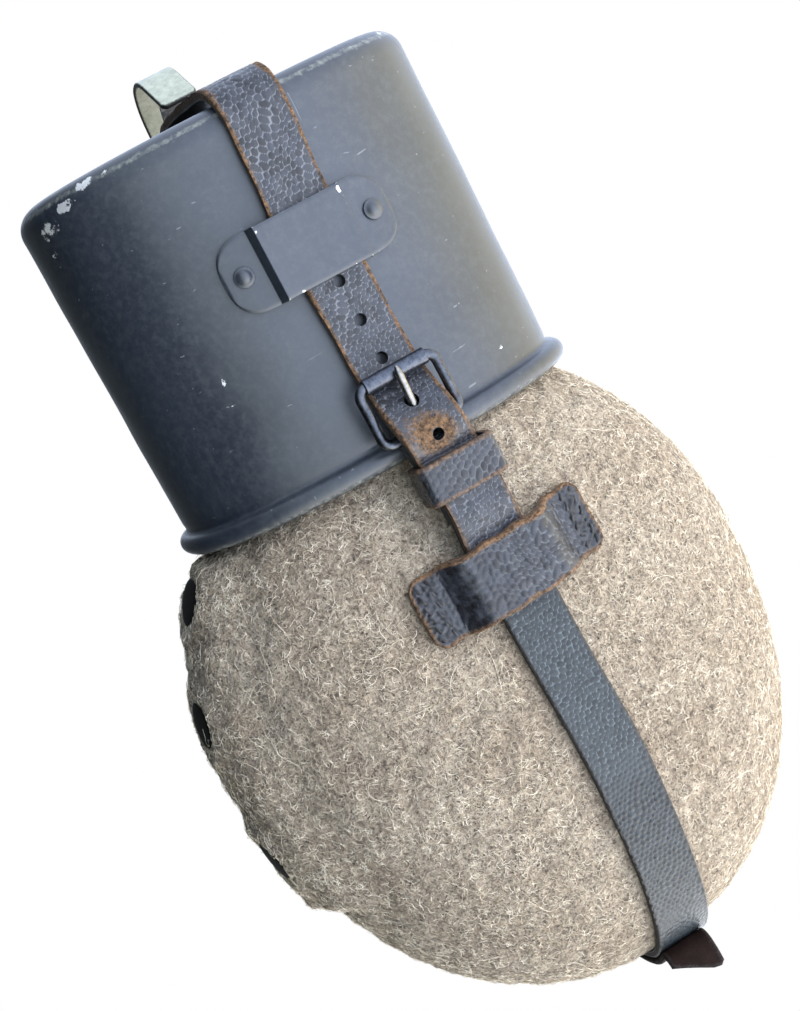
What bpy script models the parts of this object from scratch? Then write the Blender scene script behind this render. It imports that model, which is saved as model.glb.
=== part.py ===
"""Felt-covered field canteen: an aluminium flask in a wool felt cover, an oval cup turned over its
neck, and a leather harness with a roller buckle and a belt hook. Lengths below are millimetres; the
scene is metres, +Z up, and the front faces -Y. Heights are measured from the bottom of the felt, until
ORIGIN moves everything."""

import math

import bmesh
import bpy
from mathutils import Matrix, Vector

MM = 0.001
GAP = 0.3  # clearance between pieces that touch

# Felt-covered body
BODY_HALF_WIDTH = 73.0
BODY_TOP = 170.0
WIDEST_Z = 91.0
DEEPEST_Z = 85.0
FRONT_DEPTH = 45.0
REAR_DEPTH = 34.0
SECTION_POWER = 2.3  # squareness of the horizontal sections
BODY_LEAN = 3.4  # sideways shift of the bottom under the cup
FELT = 2.2
FELT_TOP = 163.5
FLASK_GAP = 2.0
FLASK_WALL = 1.2

# Side flap and its snap fasteners
FLAP_SWELL = 3.4
FLAP_LOW = 53.0
FLAP_HIGH = 149.5
FLAP_REACH = 26.0
TUCK_REACH = 9.0
SNAP_HEIGHTS = (140.5, 112.0, 72.5)
SNAP_ANGLE = 177.0
SNAP_TURN = 0.12  # how far the fasteners face forwards, as a share of sideways
SNAP_RADIUS = 6.0

# Neck and stopper
NECK_RADIUS = 13.0
MOUTH_RADIUS = 10.5
MOUTH_Z = 200.0
THREAD_PITCH = 3.6
THREAD_DEPTH = 0.9
CAP_RADIUS = 17.5
CAP_BOTTOM = 182.5
CAP_TOP = 207.0

# Cup
CUP_RIM_Z = 150.0
CUP_TOP_Z = 244.0
CUP_HALF_WIDTH_RIM = 52.2
CUP_HALF_WIDTH_TOP = 53.4
CUP_FRONT = 39.2
CUP_REAR = 35.2
CUP_EDGE = 6.5
CUP_WALL = 1.0
BEAD_RADIUS = 2.6
BEAD_PROUD = 3.0

# Cup handles
HANDLE_HINGE_X = 16.5
HANDLE_HINGE_Z = 200.5
HANDLE_STAND = 2.9  # from the cup wall to the middle of the handle wire
CLIP_PLY = 0.8
CLIP_BEND = 2.1

# Harness
STRAP_HALF = 8.0
BUCKLE_STRAP_HALF = 7.6
BUCKLE_PLY = 2.0
TONGUE_PLY = 2.3
BRACKET_Z = 205.7
LUG_POWER = 2.8  # squareness of the bracket's lugs
HOLE_HEIGHTS = (194.8, 184.5, 174.1, 153.6)  # the prong's own hole is between the last two
HOLE_RADIUS = 1.5
HEEL_Z = 155.5
ROLLER_Z = 170.4
TIP_Z = 107.0
# The tongue strap's way over the cup's base as (y, z), from the rear to the front
ARCH_LINE = (
    (37.8, 233.0), (37.2, 238.8), (35.0, 242.8), (31.5, 245.7), (27.5, 247.3), (22.0, 248.1),
    (13.4, 248.7), (4.0, 248.8), (-5.0, 248.7), (-13.0, 248.5), (-21.0, 248.3), (-28.0, 247.9),
    (-33.0, 247.3), (-35.6, 246.4), (-38.0, 244.7), (-39.8, 242.4), (-40.8, 239.6), (-41.0, 236.0),
)  # fmt: skip
REAR_X = 3.0

# Heights of the parts on the harness
SLIDER_Z = 143.0
SLIDER_HEIGHT = 10.0
FRONT_KEEPER_Z = 116.6
REAR_KEEPER_Z = 98.0
# The bottom tab's drooping end: x, and how much shorter it is cut there
TAB_EDGE = ((-0.8, 8.2), (2.4, 6.6), (5.8, 4.6), (8.8, 2.8), (11.0, 2.2), (12.2, 3.2))
TAB_ROWS = 16
KEEPER_HEIGHT = 18.0
CHAPE_BAR_Z = 213.0

# Belt hook: the strip's centre line as (y, z), from the bar to the tip
HOOK_WIDTH = 10.5
HOOK_PLY = 1.5
HOOK_LINE = (
    (47.3, 215.0),
    (50.2, 224.0),
    (53.6, 235.0),
    (55.0, 246.0),
    (53.0, 255.0),
    (48.0, 260.6),
    (42.0, 262.6),
    (36.0, 261.7),
    (29.0, 257.2),
    (22.4, 252.6),
)
GATE_PIVOT = (46.2, 223.0)
GATE_LINE = ((46.0, 224.4), (45.0, 230.0), (42.6, 240.0), (39.2, 248.0), (34.2, 253.4), (30.2, 255.6))
GATE_PIN_RADIUS = 0.9
ORIGIN = Vector((REAR_X, 43.0, 261.7))  # where a belt ring hangs in the hook


# ---------------------------------------------------------------- materials and objects


def material(name, colour, roughness, metallic=0.0):
    made = bpy.data.materials.new(name)
    made.use_nodes = True
    shader = made.node_tree.nodes["Principled BSDF"]
    shader.inputs["Base Color"].default_value = (*colour, 1.0)
    shader.inputs["Roughness"].default_value = roughness
    shader.inputs["Metallic"].default_value = metallic
    made.diffuse_color = (*colour, 1.0)
    return made


def finish(name, mesh_data, look, parent, smooth=True):
    """Puts a bmesh, with points in millimetres in the canteen's frame, into its own object."""
    bmesh.ops.remove_doubles(mesh_data, verts=mesh_data.verts, dist=1e-5)
    bmesh.ops.dissolve_degenerate(mesh_data, edges=mesh_data.edges, dist=1e-5)
    bmesh.ops.recalc_face_normals(mesh_data, faces=mesh_data.faces)
    pivot = parent["pivot"]
    for vertex in mesh_data.verts:
        vertex.co = (vertex.co - Vector(pivot)) * MM
    mesh = bpy.data.meshes.new(name)
    mesh_data.to_mesh(mesh)
    mesh_data.free()
    if smooth:
        mesh.shade_smooth()
        mesh.set_sharp_from_angle(angle=math.radians(35))
    made = bpy.data.objects.new(name, mesh)
    bpy.context.scene.collection.objects.link(made)
    made.parent = parent
    if look:
        mesh.materials.append(look)
    return made


def body(name, pivot, parent=None):
    """An empty on a moving body's joint; its parts' meshes are measured from it."""
    made = bpy.data.objects.new(name, None)
    bpy.context.scene.collection.objects.link(made)
    start = Vector(parent["pivot"]) if parent else ORIGIN
    made.parent = parent
    made.location = (Vector(pivot) - start) * MM
    made["pivot"] = pivot
    return made


def cut(target, cutter_mesh, parent):
    """Takes a bmesh of closed cutters, in millimetres, out of target."""
    cutter = finish(target.name + ".cut", cutter_mesh, None, parent, smooth=False)
    cutter.hide_render = True
    cutter.display_type = "WIRE"
    modifier = target.modifiers.new("Holes", "BOOLEAN")
    modifier.operation = "DIFFERENCE"
    modifier.solver = "EXACT"
    modifier.object = cutter


# ---------------------------------------------------------------- general shapes


def smooth_step(value):
    share = min(1.0, max(0.0, value))
    return share * share * (3 - 2 * share)


def between(points, value):
    """The smoothly eased value at this key in ((key, value), ...), whose keys fall."""
    if value >= points[0][0]:
        return points[0][1]
    for (high, first), (low, second) in zip(points, points[1:]):
        if value >= low:
            return first + (second - first) * smooth_step((high - value) / (high - low))
    return points[-1][1]


def grid_solid(rows, thick_rows, closed=False):
    """A closed bmesh from an outer and an inner grid of points, joined along their edges. A closed grid
    joins its last column to its first."""
    made = bmesh.new()
    outer = [[made.verts.new(p) for p in row] for row in rows]
    inner = [[made.verts.new(p) for p in row] for row in thick_rows]
    columns = len(rows[0])
    steps = columns if closed else columns - 1
    for layer in (outer, inner):
        for lower, upper in zip(layer, layer[1:]):
            for i in range(steps):
                j = (i + 1) % columns
                made.faces.new((lower[i], lower[j], upper[j], upper[i]))
    for row in (0, -1):
        for i in range(steps):
            j = (i + 1) % columns
            made.faces.new((outer[row][i], outer[row][j], inner[row][j], inner[row][i]))
    if not closed:
        for column in (0, -1):
            for row in range(len(rows) - 1):
                made.faces.new(
                    (outer[row][column], outer[row + 1][column], inner[row + 1][column], inner[row][column])
                )
    return made


def ring_solid(rings):
    """A closed bmesh from a loop of rings: each ring joins the next, and the last joins the first."""
    made = bmesh.new()
    rows = [[made.verts.new(p) for p in ring] for ring in rings]
    count = len(rows[0])
    for first, second in zip(rows, rows[1:] + rows[:1]):
        for i in range(count):
            j = (i + 1) % count
            made.faces.new((first[i], first[j], second[j], second[i]))
    return made


def axes_along(direction):
    """Two unit vectors square to a direction and to each other."""
    along = Vector(direction).normalized()
    side = along.cross(Vector((0, 0, 1)))
    if side.length < 0.01:
        side = Vector((1, 0, 0))
    side.normalize()
    return side, along.cross(side).normalized()


def add_turned(made, profile, place, direction, segments=20):
    """Adds a turned solid: profile is (radius, distance along direction) from one end to the other."""
    along = Vector(direction).normalized()
    side, up = axes_along(along)
    rings = []
    for radius, distance in profile:
        centre = Vector(place) + along * distance
        if radius < 1e-6:
            rings.append([made.verts.new(centre)])
            continue
        turn = [2 * math.pi * i / segments for i in range(segments)]
        spokes = [side * math.cos(t) + up * math.sin(t) for t in turn]
        rings.append([made.verts.new(centre + spoke * radius) for spoke in spokes])
    for first, second in zip(rings, rings[1:]):
        for i in range(segments):
            j = (i + 1) % segments
            low, high = len(first), len(second)
            corners = [first[i % low], first[j % low], second[j % high], second[i % high]]
            made.faces.new(list(dict.fromkeys(corners)))


def turned(profile, place, direction, segments=20):
    made = bmesh.new()
    add_turned(made, profile, place, direction, segments)
    return made


def holes(places, direction_of, radius, reach):
    """Cutters: one cylinder through each place."""
    made = bmesh.new()
    for place in places:
        profile = ((0, -reach), (radius, -reach), (radius, reach), (0, reach))
        add_turned(made, profile, place, direction_of(place), segments=12)
    return made


def wire(points, radius, sides=10):
    """A round wire along a closed loop of points."""
    spots = [Vector(p) for p in points]
    turns = [2 * math.pi * k / sides for k in range(sides)]
    side = None
    rings = []
    for i, spot in enumerate(spots):
        along = (spots[(i + 1) % len(spots)] - spots[i - 1]).normalized()
        side = (side - along * side.dot(along)).normalized() if side else axes_along(along)[0]
        up = along.cross(side)
        rings.append([spot + (side * math.cos(t) + up * math.sin(t)) * radius for t in turns])
    return ring_solid(rings)


def ribbon(line, half_widths, ply, middle_of):
    """A flat strip along a line of (y, z) points. middle_of gives the strip's middle x at a point."""
    rows, thick_rows = [], []
    for i, spot in enumerate(line):
        along = line[min(i + 1, len(line) - 1)] - line[max(i - 1, 0)]
        across = Vector((along.y, -along.x)).normalized() * (ply / 2)
        middle = middle_of(spot)
        half = half_widths(i) if callable(half_widths) else half_widths
        sides = (middle - half, middle + half)
        rows.append([(x, spot.x + across.x, spot.y + across.y) for x in sides])
        thick_rows.append([(x, spot.x - across.x, spot.y - across.y) for x in sides])
    return grid_solid(rows, thick_rows)


def curve_through(points, steps=4):
    """A smooth Catmull-Rom line through (y, z) points."""
    spots = [Vector(p) for p in points]
    padded = [spots[0] * 2 - spots[1]] + spots + [spots[-1] * 2 - spots[-2]]
    made = []
    for a, b, c, d in zip(padded, padded[1:], padded[2:], padded[3:]):
        for i in range(steps):
            t = i / steps
            bend, twist = a * 2 - b * 5 + c * 4 - d, b * 3 - a - c * 3 + d
            made.append((b * 2 + (c - a) * t + bend * t**2 + twist * t**3) / 2)
    made.append(spots[-1])
    return made


# ---------------------------------------------------------------- the body's surface


def super_ellipse(share, power):
    """The half-size left, as a share of the greatest, this share of the way to the pole."""
    return max(0.0, 1 - min(1.0, abs(share)) ** power) ** (1 / power)


def half_width(z, inset=0.0):
    above = z > WIDEST_Z
    reach = (BODY_TOP - WIDEST_Z if above else WIDEST_Z) - inset
    return (BODY_HALF_WIDTH - inset) * super_ellipse((z - WIDEST_Z) / reach, 2.0 if above else 2.15)


def half_depth(z, greatest, inset=0.0):
    above = z > DEEPEST_Z
    reach = (BODY_TOP if above else 2 * DEEPEST_Z) - DEEPEST_Z - inset
    return (greatest - inset) * super_ellipse((z - DEEPEST_Z) / reach, 2.8 if above else 2.5)


def lean(z):
    return BODY_LEAN * max(0.0, 1 - z / CUP_RIM_Z)


def body_point(angle, z, inset=0.0):
    """A point of the body: angle runs in degrees from +X round the front to -X and on round the back."""
    turn = math.radians(angle)
    across, back = math.cos(turn), math.sin(turn)
    greatest = FRONT_DEPTH if back > 0 else REAR_DEPTH
    x = half_width(z, inset) * math.copysign(abs(across) ** (2 / SECTION_POWER), across)
    y = -half_depth(z, greatest, inset) * math.copysign(abs(back) ** (2 / SECTION_POWER), back)
    return Vector((x + lean(z), y, z))


def depth_at(x, z, greatest):
    """How far the felt stands out, forward or back, at this x and height."""
    width = half_width(z)
    if width < 1e-6:
        return 0.0
    return half_depth(z, greatest) * super_ellipse((x - lean(z)) / width, SECTION_POWER)


def felt_underside(x, y):
    """The felt's lowest height at this x and y, found by halving."""
    greatest = FRONT_DEPTH if y < 0 else REAR_DEPTH
    low, high = 0.0, WIDEST_Z
    for _ in range(30):
        z = (low + high) / 2
        inside = depth_at(x, z, greatest) > abs(y)
        low, high = (low, z) if inside else (z, high)
    return high


def flap_zone(z):
    return smooth_step((z - FLAP_LOW) / 6) * smooth_step((FLAP_HIGH - z) / 3.5)


def flap_swell(angle, z):
    return FLAP_SWELL * smooth_step((angle - 146) / 18) * flap_zone(z)


def flap_angle(z):
    return 180 + FLAP_REACH * smooth_step((z - FLAP_LOW - 9) / 12) * smooth_step((FLAP_HIGH - 3.5 - z) / 12)


def tuck_angle(z):
    return 180 - TUCK_REACH * smooth_step((z - FLAP_LOW - 9) / 8) * smooth_step((FLAP_HIGH - 3.5 - z) / 8)


def heights(bottom, top, count):
    """Heights that crowd together towards the two ends."""
    spread = [(1 - math.cos(math.pi * i / count)) / 2 for i in range(count + 1)]
    return [bottom + (top - bottom) * (0.75 * s + 0.25 * i / count) for i, s in enumerate(spread)]


def felt_heights(bottom):
    """The felt panels' rows: closer at the ends, and one at each change of the flap and each snap."""
    rows = (2.5, 6, 11, 18, 27, 36, 45, FLAP_LOW, FLAP_LOW + 3, FLAP_LOW + 6, FLAP_LOW + 9, FLAP_LOW + 13)
    rows += (FLAP_LOW + 17, FLAP_LOW + 21, 82, 92, 102, 112, 122, 131, FLAP_HIGH - 13, FLAP_HIGH - 8)
    rows += (FLAP_HIGH - 3.5, FLAP_HIGH, 155, 160)
    return [bottom, *(max(z, bottom + 0.5 + 0.1 * i) for i, z in enumerate(rows)), FELT_TOP]


def felt_panel(angles_of, swell_of, seam_shift, columns):
    """One felt panel as a closed shell. angles_of gives its first and last angle at a height."""
    shift = Vector((0, seam_shift, 0))
    layers = []
    for inset, bottom in ((0.0, 0.3), (FELT, FELT + 0.3)):
        rows = []
        for z in felt_heights(bottom):
            first, last = angles_of(z)
            angles = [first + (last - first) * i / columns for i in range(columns + 1)]
            rows.append([body_point(a, z, inset - swell_of(a, z)) + shift for a in angles])
        layers.append(rows)
    return grid_solid(*layers)


def flap_place(z, inset):
    """The point of the swollen flap at a snap fastener's height, and the way out from it."""
    swell = FLAP_SWELL * flap_zone(z)
    here = body_point(SNAP_ANGLE, z, inset - swell)
    step_z = body_point(SNAP_ANGLE, z + 1, inset - swell) - body_point(SNAP_ANGLE, z - 1, inset - swell)
    out = Vector((0, -1, 0)).cross(step_z).normalized()
    out = out if out.x < 0 else -out
    return here, (out + Vector((0, -SNAP_TURN, 0))).normalized()


# ---------------------------------------------------------------- flask, cover and stopper


def neck_radius(turn, z):
    """The neck's outer radius, with its screw thread between the shoulder and the mouth."""
    start, end = MOUTH_Z - 13, MOUTH_Z - 2.5
    if not start < z < end:
        return NECK_RADIUS
    fade = min(1.0, (z - start) / 1.5, (end - z) / 1.5)
    wave = math.cos(2 * math.pi * (z / THREAD_PITCH) - turn)
    return NECK_RADIUS + THREAD_DEPTH * fade * max(0.0, wave)


def make_flask(look, parent):
    columns = 26
    turns = [2 * math.pi * i / columns for i in range(columns)]

    def shell_ring(z, inset):
        return [body_point(math.degrees(t), z, inset) for t in turns]

    def neck_ring(z, radius_of):
        # The body's angles run clockwise seen from above, so the neck's do too.
        return [Vector((math.cos(t) * radius_of(t, z), -math.sin(t) * radius_of(t, z), z)) for t in turns]

    outside = FELT + FLASK_GAP
    inside = outside + FLASK_WALL
    rings = [shell_ring(z, outside) for z in heights(outside + 0.2, 162.0, 12)]
    rings += [neck_ring(164.6, lambda t, z: NECK_RADIUS + 0.6), neck_ring(167.0, neck_radius)]
    rings += [neck_ring(MOUTH_Z - 13 + i, neck_radius) for i in range(13)]
    rings += [neck_ring(MOUTH_Z, lambda t, z: NECK_RADIUS - 0.4)]
    rings += [neck_ring(z, lambda t, z: MOUTH_RADIUS) for z in (MOUTH_Z, 184.0, 165.0)]
    rings += [shell_ring(z, inside) for z in reversed(heights(inside + 0.2, 160.0, 12))]
    made = bmesh.new()
    rows = [[made.verts.new(p) for p in ring] for ring in rings]
    for first, second in zip(rows, rows[1:]):
        for i in range(columns):
            j = (i + 1) % columns
            made.faces.new((first[i], first[j], second[j], second[i]))
    made.faces.new(rows[0])
    made.faces.new(rows[-1])
    return finish("flask_shell", made, look, parent)


def make_felt(look, parent):
    front = felt_panel(lambda z: (0, flap_angle(z)), flap_swell, -GAP / 2, 24)
    front = finish("felt_front", front, look, parent)
    back = felt_panel(lambda z: (tuck_angle(z), 360), lambda a, z: 0.0, GAP / 2, 20)
    back = finish("felt_back", back, look, parent)
    caps = [flap_place(z, 0.0) for z in SNAP_HEIGHTS]
    ways = {tuple(place): out for place, out in caps}
    cut(front, holes(ways, lambda p: ways[tuple(p)], 3.7, FELT + 0.6), parent)
    studs = {tuple(place - out * (FLAP_SWELL + FELT / 2)): out for place, out in caps}
    cut(back, holes(studs, lambda p: studs[tuple(p)], 1.9, FELT / 2 + 0.8), parent)


def make_snaps(cap_look, stud_look, parent):
    r = SNAP_RADIUS
    for number, z in enumerate(SNAP_HEIGHTS, 1):
        place, out = flap_place(z, 0.0)
        square = math.hypot(out.x, out.y)  # felt is measured level, so a slope thins it
        cap = ((0, 1.4), (0.5 * r, 1.3), (0.83 * r, 1.05), (r, 0.65), (r, GAP), (3.3, GAP))
        cap += ((3.3, -FELT * square), (2.4, -FELT * square), (2.4, -0.5), (0, -0.5))
        flange = -(FLAP_SWELL + FELT) * square - 1.4
        stud = ((0, flange - 0.4), (2.2, flange - 0.4), (2.2, flange), (1.5, flange), (1.5, -2.2))
        stud += ((1.9, -1.9), (1.9, -1.3), (1.3, -0.9), (0, -0.9))
        finish(f"snap_cap_{number}", turned(cap, place, out, 18), cap_look, parent)
        finish(f"snap_stud_{number}", turned(stud, place, out, 12), stud_look, parent)


def make_stopper(cap_look, seal_look, lifted, turning):
    """The screw stopper: a turning shell with finger flutes, and the sealing washer inside it."""
    count = 48
    turns = [2 * math.pi * i / count for i in range(count)]

    def ring(radius, z, flute=0.0):
        out = [radius - flute * (0.5 + 0.5 * math.cos(16 * t)) for t in turns]
        return [(o * math.cos(t), o * math.sin(t), z) for o, t in zip(out, turns)]

    r, inside = CAP_RADIUS, NECK_RADIUS + THREAD_DEPTH + 0.5
    rings = [ring(r - 0.8, CAP_BOTTOM), ring(r, CAP_BOTTOM + 0.8, 0.8), ring(r, CAP_TOP - 2.2, 0.8)]
    rings += [ring(r - 1.2, CAP_TOP - 0.4), ring(r - 3, CAP_TOP)]
    rings = [ring(inside, CAP_TOP - 3), ring(inside, CAP_BOTTOM), *rings]
    made = bmesh.new()
    rows = [[made.verts.new(p) for p in points] for points in rings]
    for first, second in zip(rows, rows[1:]):
        for i in range(count):
            j = (i + 1) % count
            made.faces.new((first[i], first[j], second[j], second[i]))
    made.faces.new(rows[0])
    made.faces.new(rows[-1])
    finish("screw_stopper", made, cap_look, turning)
    washer = ((0, 0), (NECK_RADIUS, 0), (NECK_RADIUS, 2.4), (0, 2.4))
    finish("stopper_seal", turned(washer, (0, 0, MOUTH_Z + GAP), (0, 0, 1), 24), seal_look, lifted)


# ---------------------------------------------------------------- cup


def cup_size(z):
    """The cup wall's outer half-width, front depth and rear depth at a height."""
    share = (z - CUP_RIM_Z) / (CUP_TOP_Z - CUP_RIM_Z)
    wide = CUP_HALF_WIDTH_RIM + (CUP_HALF_WIDTH_TOP - CUP_HALF_WIDTH_RIM) * share
    return wide, CUP_FRONT - 0.4 + 0.4 * share, CUP_REAR - 0.4 + 0.4 * share


def cup_point(turn, z, out=0.0):
    """A point of the cup's oval wall, moved out from it; turn runs from +X round the back."""
    wide, front, rear = cup_size(z)
    across, back = math.cos(turn), math.sin(turn)
    x = (wide + out) * math.copysign(abs(across) ** (2 / SECTION_POWER), across)
    y = ((rear if back > 0 else front) + out) * math.copysign(abs(back) ** (2 / SECTION_POWER), back)
    return Vector((x, y, z))


def cup_depth(x, z, rear=False):
    wide, front, back = cup_size(z)
    return (back if rear else front) * super_ellipse(x / wide, SECTION_POWER)


def make_cup(look, parent):
    """The cup's outer profile from the base's middle down to the rolled bead, then back inside."""
    profile = [(-CUP_EDGE * (1 - math.sin(t)), CUP_TOP_Z - CUP_EDGE * (1 - math.cos(t)))
               for t in (math.pi / 2 * i / 6 for i in range(7))]
    bead_z = CUP_RIM_Z + BEAD_RADIUS
    profile += [(0, 215), (0, 185), (0, bead_z + BEAD_RADIUS + 2.2), (0.1, bead_z + BEAD_RADIUS + 0.4)]
    for i in range(7):
        turn = math.pi * 0.42 - math.pi * 1.42 * i / 6
        proud, rise = BEAD_RADIUS * (math.cos(turn) - 1), BEAD_RADIUS * math.sin(turn)
        profile.append((BEAD_PROUD + proud, bead_z + rise))
    inner_edge = CUP_EDGE - CUP_WALL
    profile += [(-CUP_WALL, bead_z - 1.2), (-CUP_WALL, 185), (-CUP_WALL, 215)]
    profile += [(-CUP_WALL - inner_edge * (1 - math.cos(t)), CUP_TOP_Z - CUP_EDGE + inner_edge * math.sin(t))
                for t in (math.pi / 2 * i / 4 for i in range(5))]
    columns = 48
    turns = [2 * math.pi * i / columns for i in range(columns)]
    made = bmesh.new()
    rows = [[made.verts.new(cup_point(t, z, out)) for t in turns] for out, z in profile]
    for first, second in zip(rows, rows[1:]):
        for i in range(columns):
            j = (i + 1) % columns
            made.faces.new((first[i], first[j], second[j], second[i]))
    made.faces.new(rows[0])
    made.faces.new(rows[-1])
    return finish("cup_shell", made, look, parent)


RIVET = ((0, 2.0), (0.8, 1.95), (1.5, 1.4), (2.4, 0.9), (2.5, 0.3), (1.2, 0.3))


def wall_normal(x, z, rear=False):
    """The way out of the cup's wall at this x."""
    side = 1 if rear else -1
    ahead = Vector((x + 0.5, side * cup_depth(x + 0.5, z, rear), 0))
    behind = Vector((x - 0.5, side * cup_depth(x - 0.5, z, rear), 0))
    along = (ahead - behind).normalized()
    out = Vector((along.y, -along.x, 0))
    return out if out.y * side > 0 else -out


def rivet_profile(through):
    """A domed rivet whose shank goes this far in from under its head and ends in a flat head."""
    return (*RIVET, (1.2, -through), (2.2, -through), (2.2, -through - 0.8), (0, -through - 0.8))


def cup_rivet(name, x, z, plate, rear, look, parent):
    """A rivet through a plate on the cup's wall, and the direction and place of its hole."""
    side = 1 if rear else -1
    out = wall_normal(x, z, rear)
    place = Vector((x, side * cup_depth(x, z, rear), z)) + out * (GAP + plate)
    finish(name, turned(rivet_profile(plate + CUP_WALL + 2 * GAP), place, out, 12), look, parent)
    return tuple(place), out


def make_bracket(cup, look, rivet_look, parent):
    """The strap loop on the cup's front: a plate raised over the strap, with a round lug on each side."""
    plate, rise, half_height, half_raised, half_long = 1.0, 3.4, 9.5, 11.4, 22.4
    right = [11.4, 12.1, 12.9, 14.5, 17.3, 20, 21.8, 22.4]
    stations = [-x for x in reversed(right)] + [0, *right]
    rows, thick_rows = [], []
    top = CUP_FRONT + rise + plate
    for x in stations:
        beyond = max(0.0, abs(x) - (half_long - half_height))
        high = max(2.0, half_height * super_ellipse(beyond / half_height, LUG_POWER))
        on_wall = cup_depth(x, BRACKET_Z + 9.5) + GAP + plate
        share = smooth_step((12.6 - abs(x)) / 1.2) if abs(x) > half_raised else 1.0
        y = on_wall + (top - on_wall) * share
        flat = abs(x) <= half_raised or abs(x) > 12.8
        slope = Vector((0, -1)) if flat else Vector((math.copysign(0.75, x), -0.66))
        spread = (BRACKET_Z - high, BRACKET_Z - high * 0.5, BRACKET_Z + high * 0.5, BRACKET_Z + high)
        rows.append([(x, -y, z) for z in spread])
        thick_rows.append([(x - slope.x * plate, -y - slope.y * plate, z) for z in spread])
    bracket = finish("strap_bracket", grid_solid(rows, thick_rows), look, parent)
    places = {}
    for side, x in (("left", -17.3), ("right", 17.3)):
        place, out = cup_rivet(f"bracket_rivet_{side}", x, BRACKET_Z, plate, False, rivet_look, parent)
        places[place] = out
    cut(bracket, holes(places, lambda p: places[tuple(p)], 1.5, 3.0), parent)
    return places


def handle_line(side, hinge_x):
    """A bail handle's closed wire, folded along the cup's rear wall from its hinge to its far end."""
    low, high, corner, far_x = 188.0, 213.0, 5.0, 43.0

    def spot(x, z):
        return (side * x, cup_depth(x, z, True) + HANDLE_STAND, z)

    def bend(x, z, start, angles):
        turns = [start - t for t in angles]
        return [spot(x + corner * math.cos(t), z + corner * math.sin(t)) for t in turns]

    near_x, far_middle, top, foot = hinge_x + corner, far_x - corner, high - corner, low + corner
    points = [spot(hinge_x, z) for z in (foot, 196, 200, 205, top)]
    arc = [math.pi / 2 * i / 4 for i in range(1, 5)]
    points += bend(near_x, top, math.pi, arc)
    points += [spot(x, high) for x in (23, 28, 33)]
    points += bend(far_middle, top, math.pi / 2, [0, *arc])
    points += [spot(far_x, z) for z in (204, 197)]
    points += bend(far_middle, foot, 0, [0, *arc])
    points += [spot(x, low) for x in (33, 28, 23)]
    return points + bend(near_x, foot, -math.pi / 2, [0, *arc[:-1]])


def make_handles(look, clip_look, rivet_look, cup_body, handle_bodies):
    """Two folding bail handles on the cup's rear, each in a rolled clip that two rivets hold."""
    places = {}
    for side, word in ((-1, "left"), (1, "right")):
        handle = handle_bodies[word]
        hinge = Vector(handle["pivot"])
        finish(f"cup_handle_{word}", wire(handle_line(side, HANDLE_HINGE_X), 1.3, 8), look, handle)
        curl = [math.radians(a) for a in range(-90, 181, 30)]
        ply = CLIP_PLY
        on_wall = [HANDLE_HINGE_X + reach for reach in (15.0, 9.0, 4.0)]
        wall = [(x, cup_depth(x, HANDLE_HINGE_Z, True) + GAP + ply / 2) for x in on_wall]
        loop = [(abs(hinge.x) - CLIP_BEND * math.cos(t), hinge.y + CLIP_BEND * math.sin(t)) for t in curl]
        line = [Vector(p) for p in wall + loop]
        rows, thick_rows = [], []
        for i, spot in enumerate(line):
            along = line[min(i + 1, len(line) - 1)] - line[max(i - 1, 0)]
            across = Vector((along.y, -along.x)).normalized() * (ply / 2)
            levels = (193.8, 200.5, 207.2)
            rows.append([(side * (spot.x + across.x), spot.y + across.y, z) for z in levels])
            thick_rows.append([(side * (spot.x - across.x), spot.y - across.y, z) for z in levels])
        clip = finish(f"handle_clip_{word}", grid_solid(rows, thick_rows), clip_look, cup_body)
        clip_places = {}
        for level, z in (("low", 197.0), ("high", 204.0)):
            x = side * (HANDLE_HINGE_X + 10.0)
            place, out = cup_rivet(f"handle_rivet_{word}_{level}", x, z, ply, True, rivet_look, cup_body)
            clip_places[place] = out
        cut(clip, holes(clip_places, lambda p, ways=clip_places: ways[tuple(p)], 1.5, 2.0), cup_body)
        places.update(clip_places)
    return places


# ---------------------------------------------------------------- harness


def strap_x(z):
    """The straps' middle on the front, at a height."""
    return between(((244, 3.0), (205, 1.4), (160, 2.1), (141, 4.8), (105, 5.2), (57, 6.8), (0, 6.8)), z)


def front_middle(spot):
    """The straps' middle x at a (y, z) point: along the front, under the bottom and up the rear."""
    if spot.x < -5:
        return strap_x(spot.y)
    share = smooth_step((spot.x + 5) / 30) if spot.y < 30 else 1.0
    if spot.y > 230:
        share = smooth_step((spot.x + 28) / 56)
        return strap_x(spot.y) * (1 - share) + REAR_X * share
    bottom = strap_x(0) * (1 - share) + (REAR_X + 2.5) * share
    return bottom + (REAR_X - bottom) * smooth_step((spot.y - 10) / 140)


def felt_front_y(z, middle):
    """The most that the felt stands out in front under a strap's width."""
    reach = (-STRAP_HALF, -STRAP_HALF / 2, 0, STRAP_HALF / 2, STRAP_HALF)
    return max(depth_at(middle + x, z, FRONT_DEPTH) for x in reach)


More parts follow.
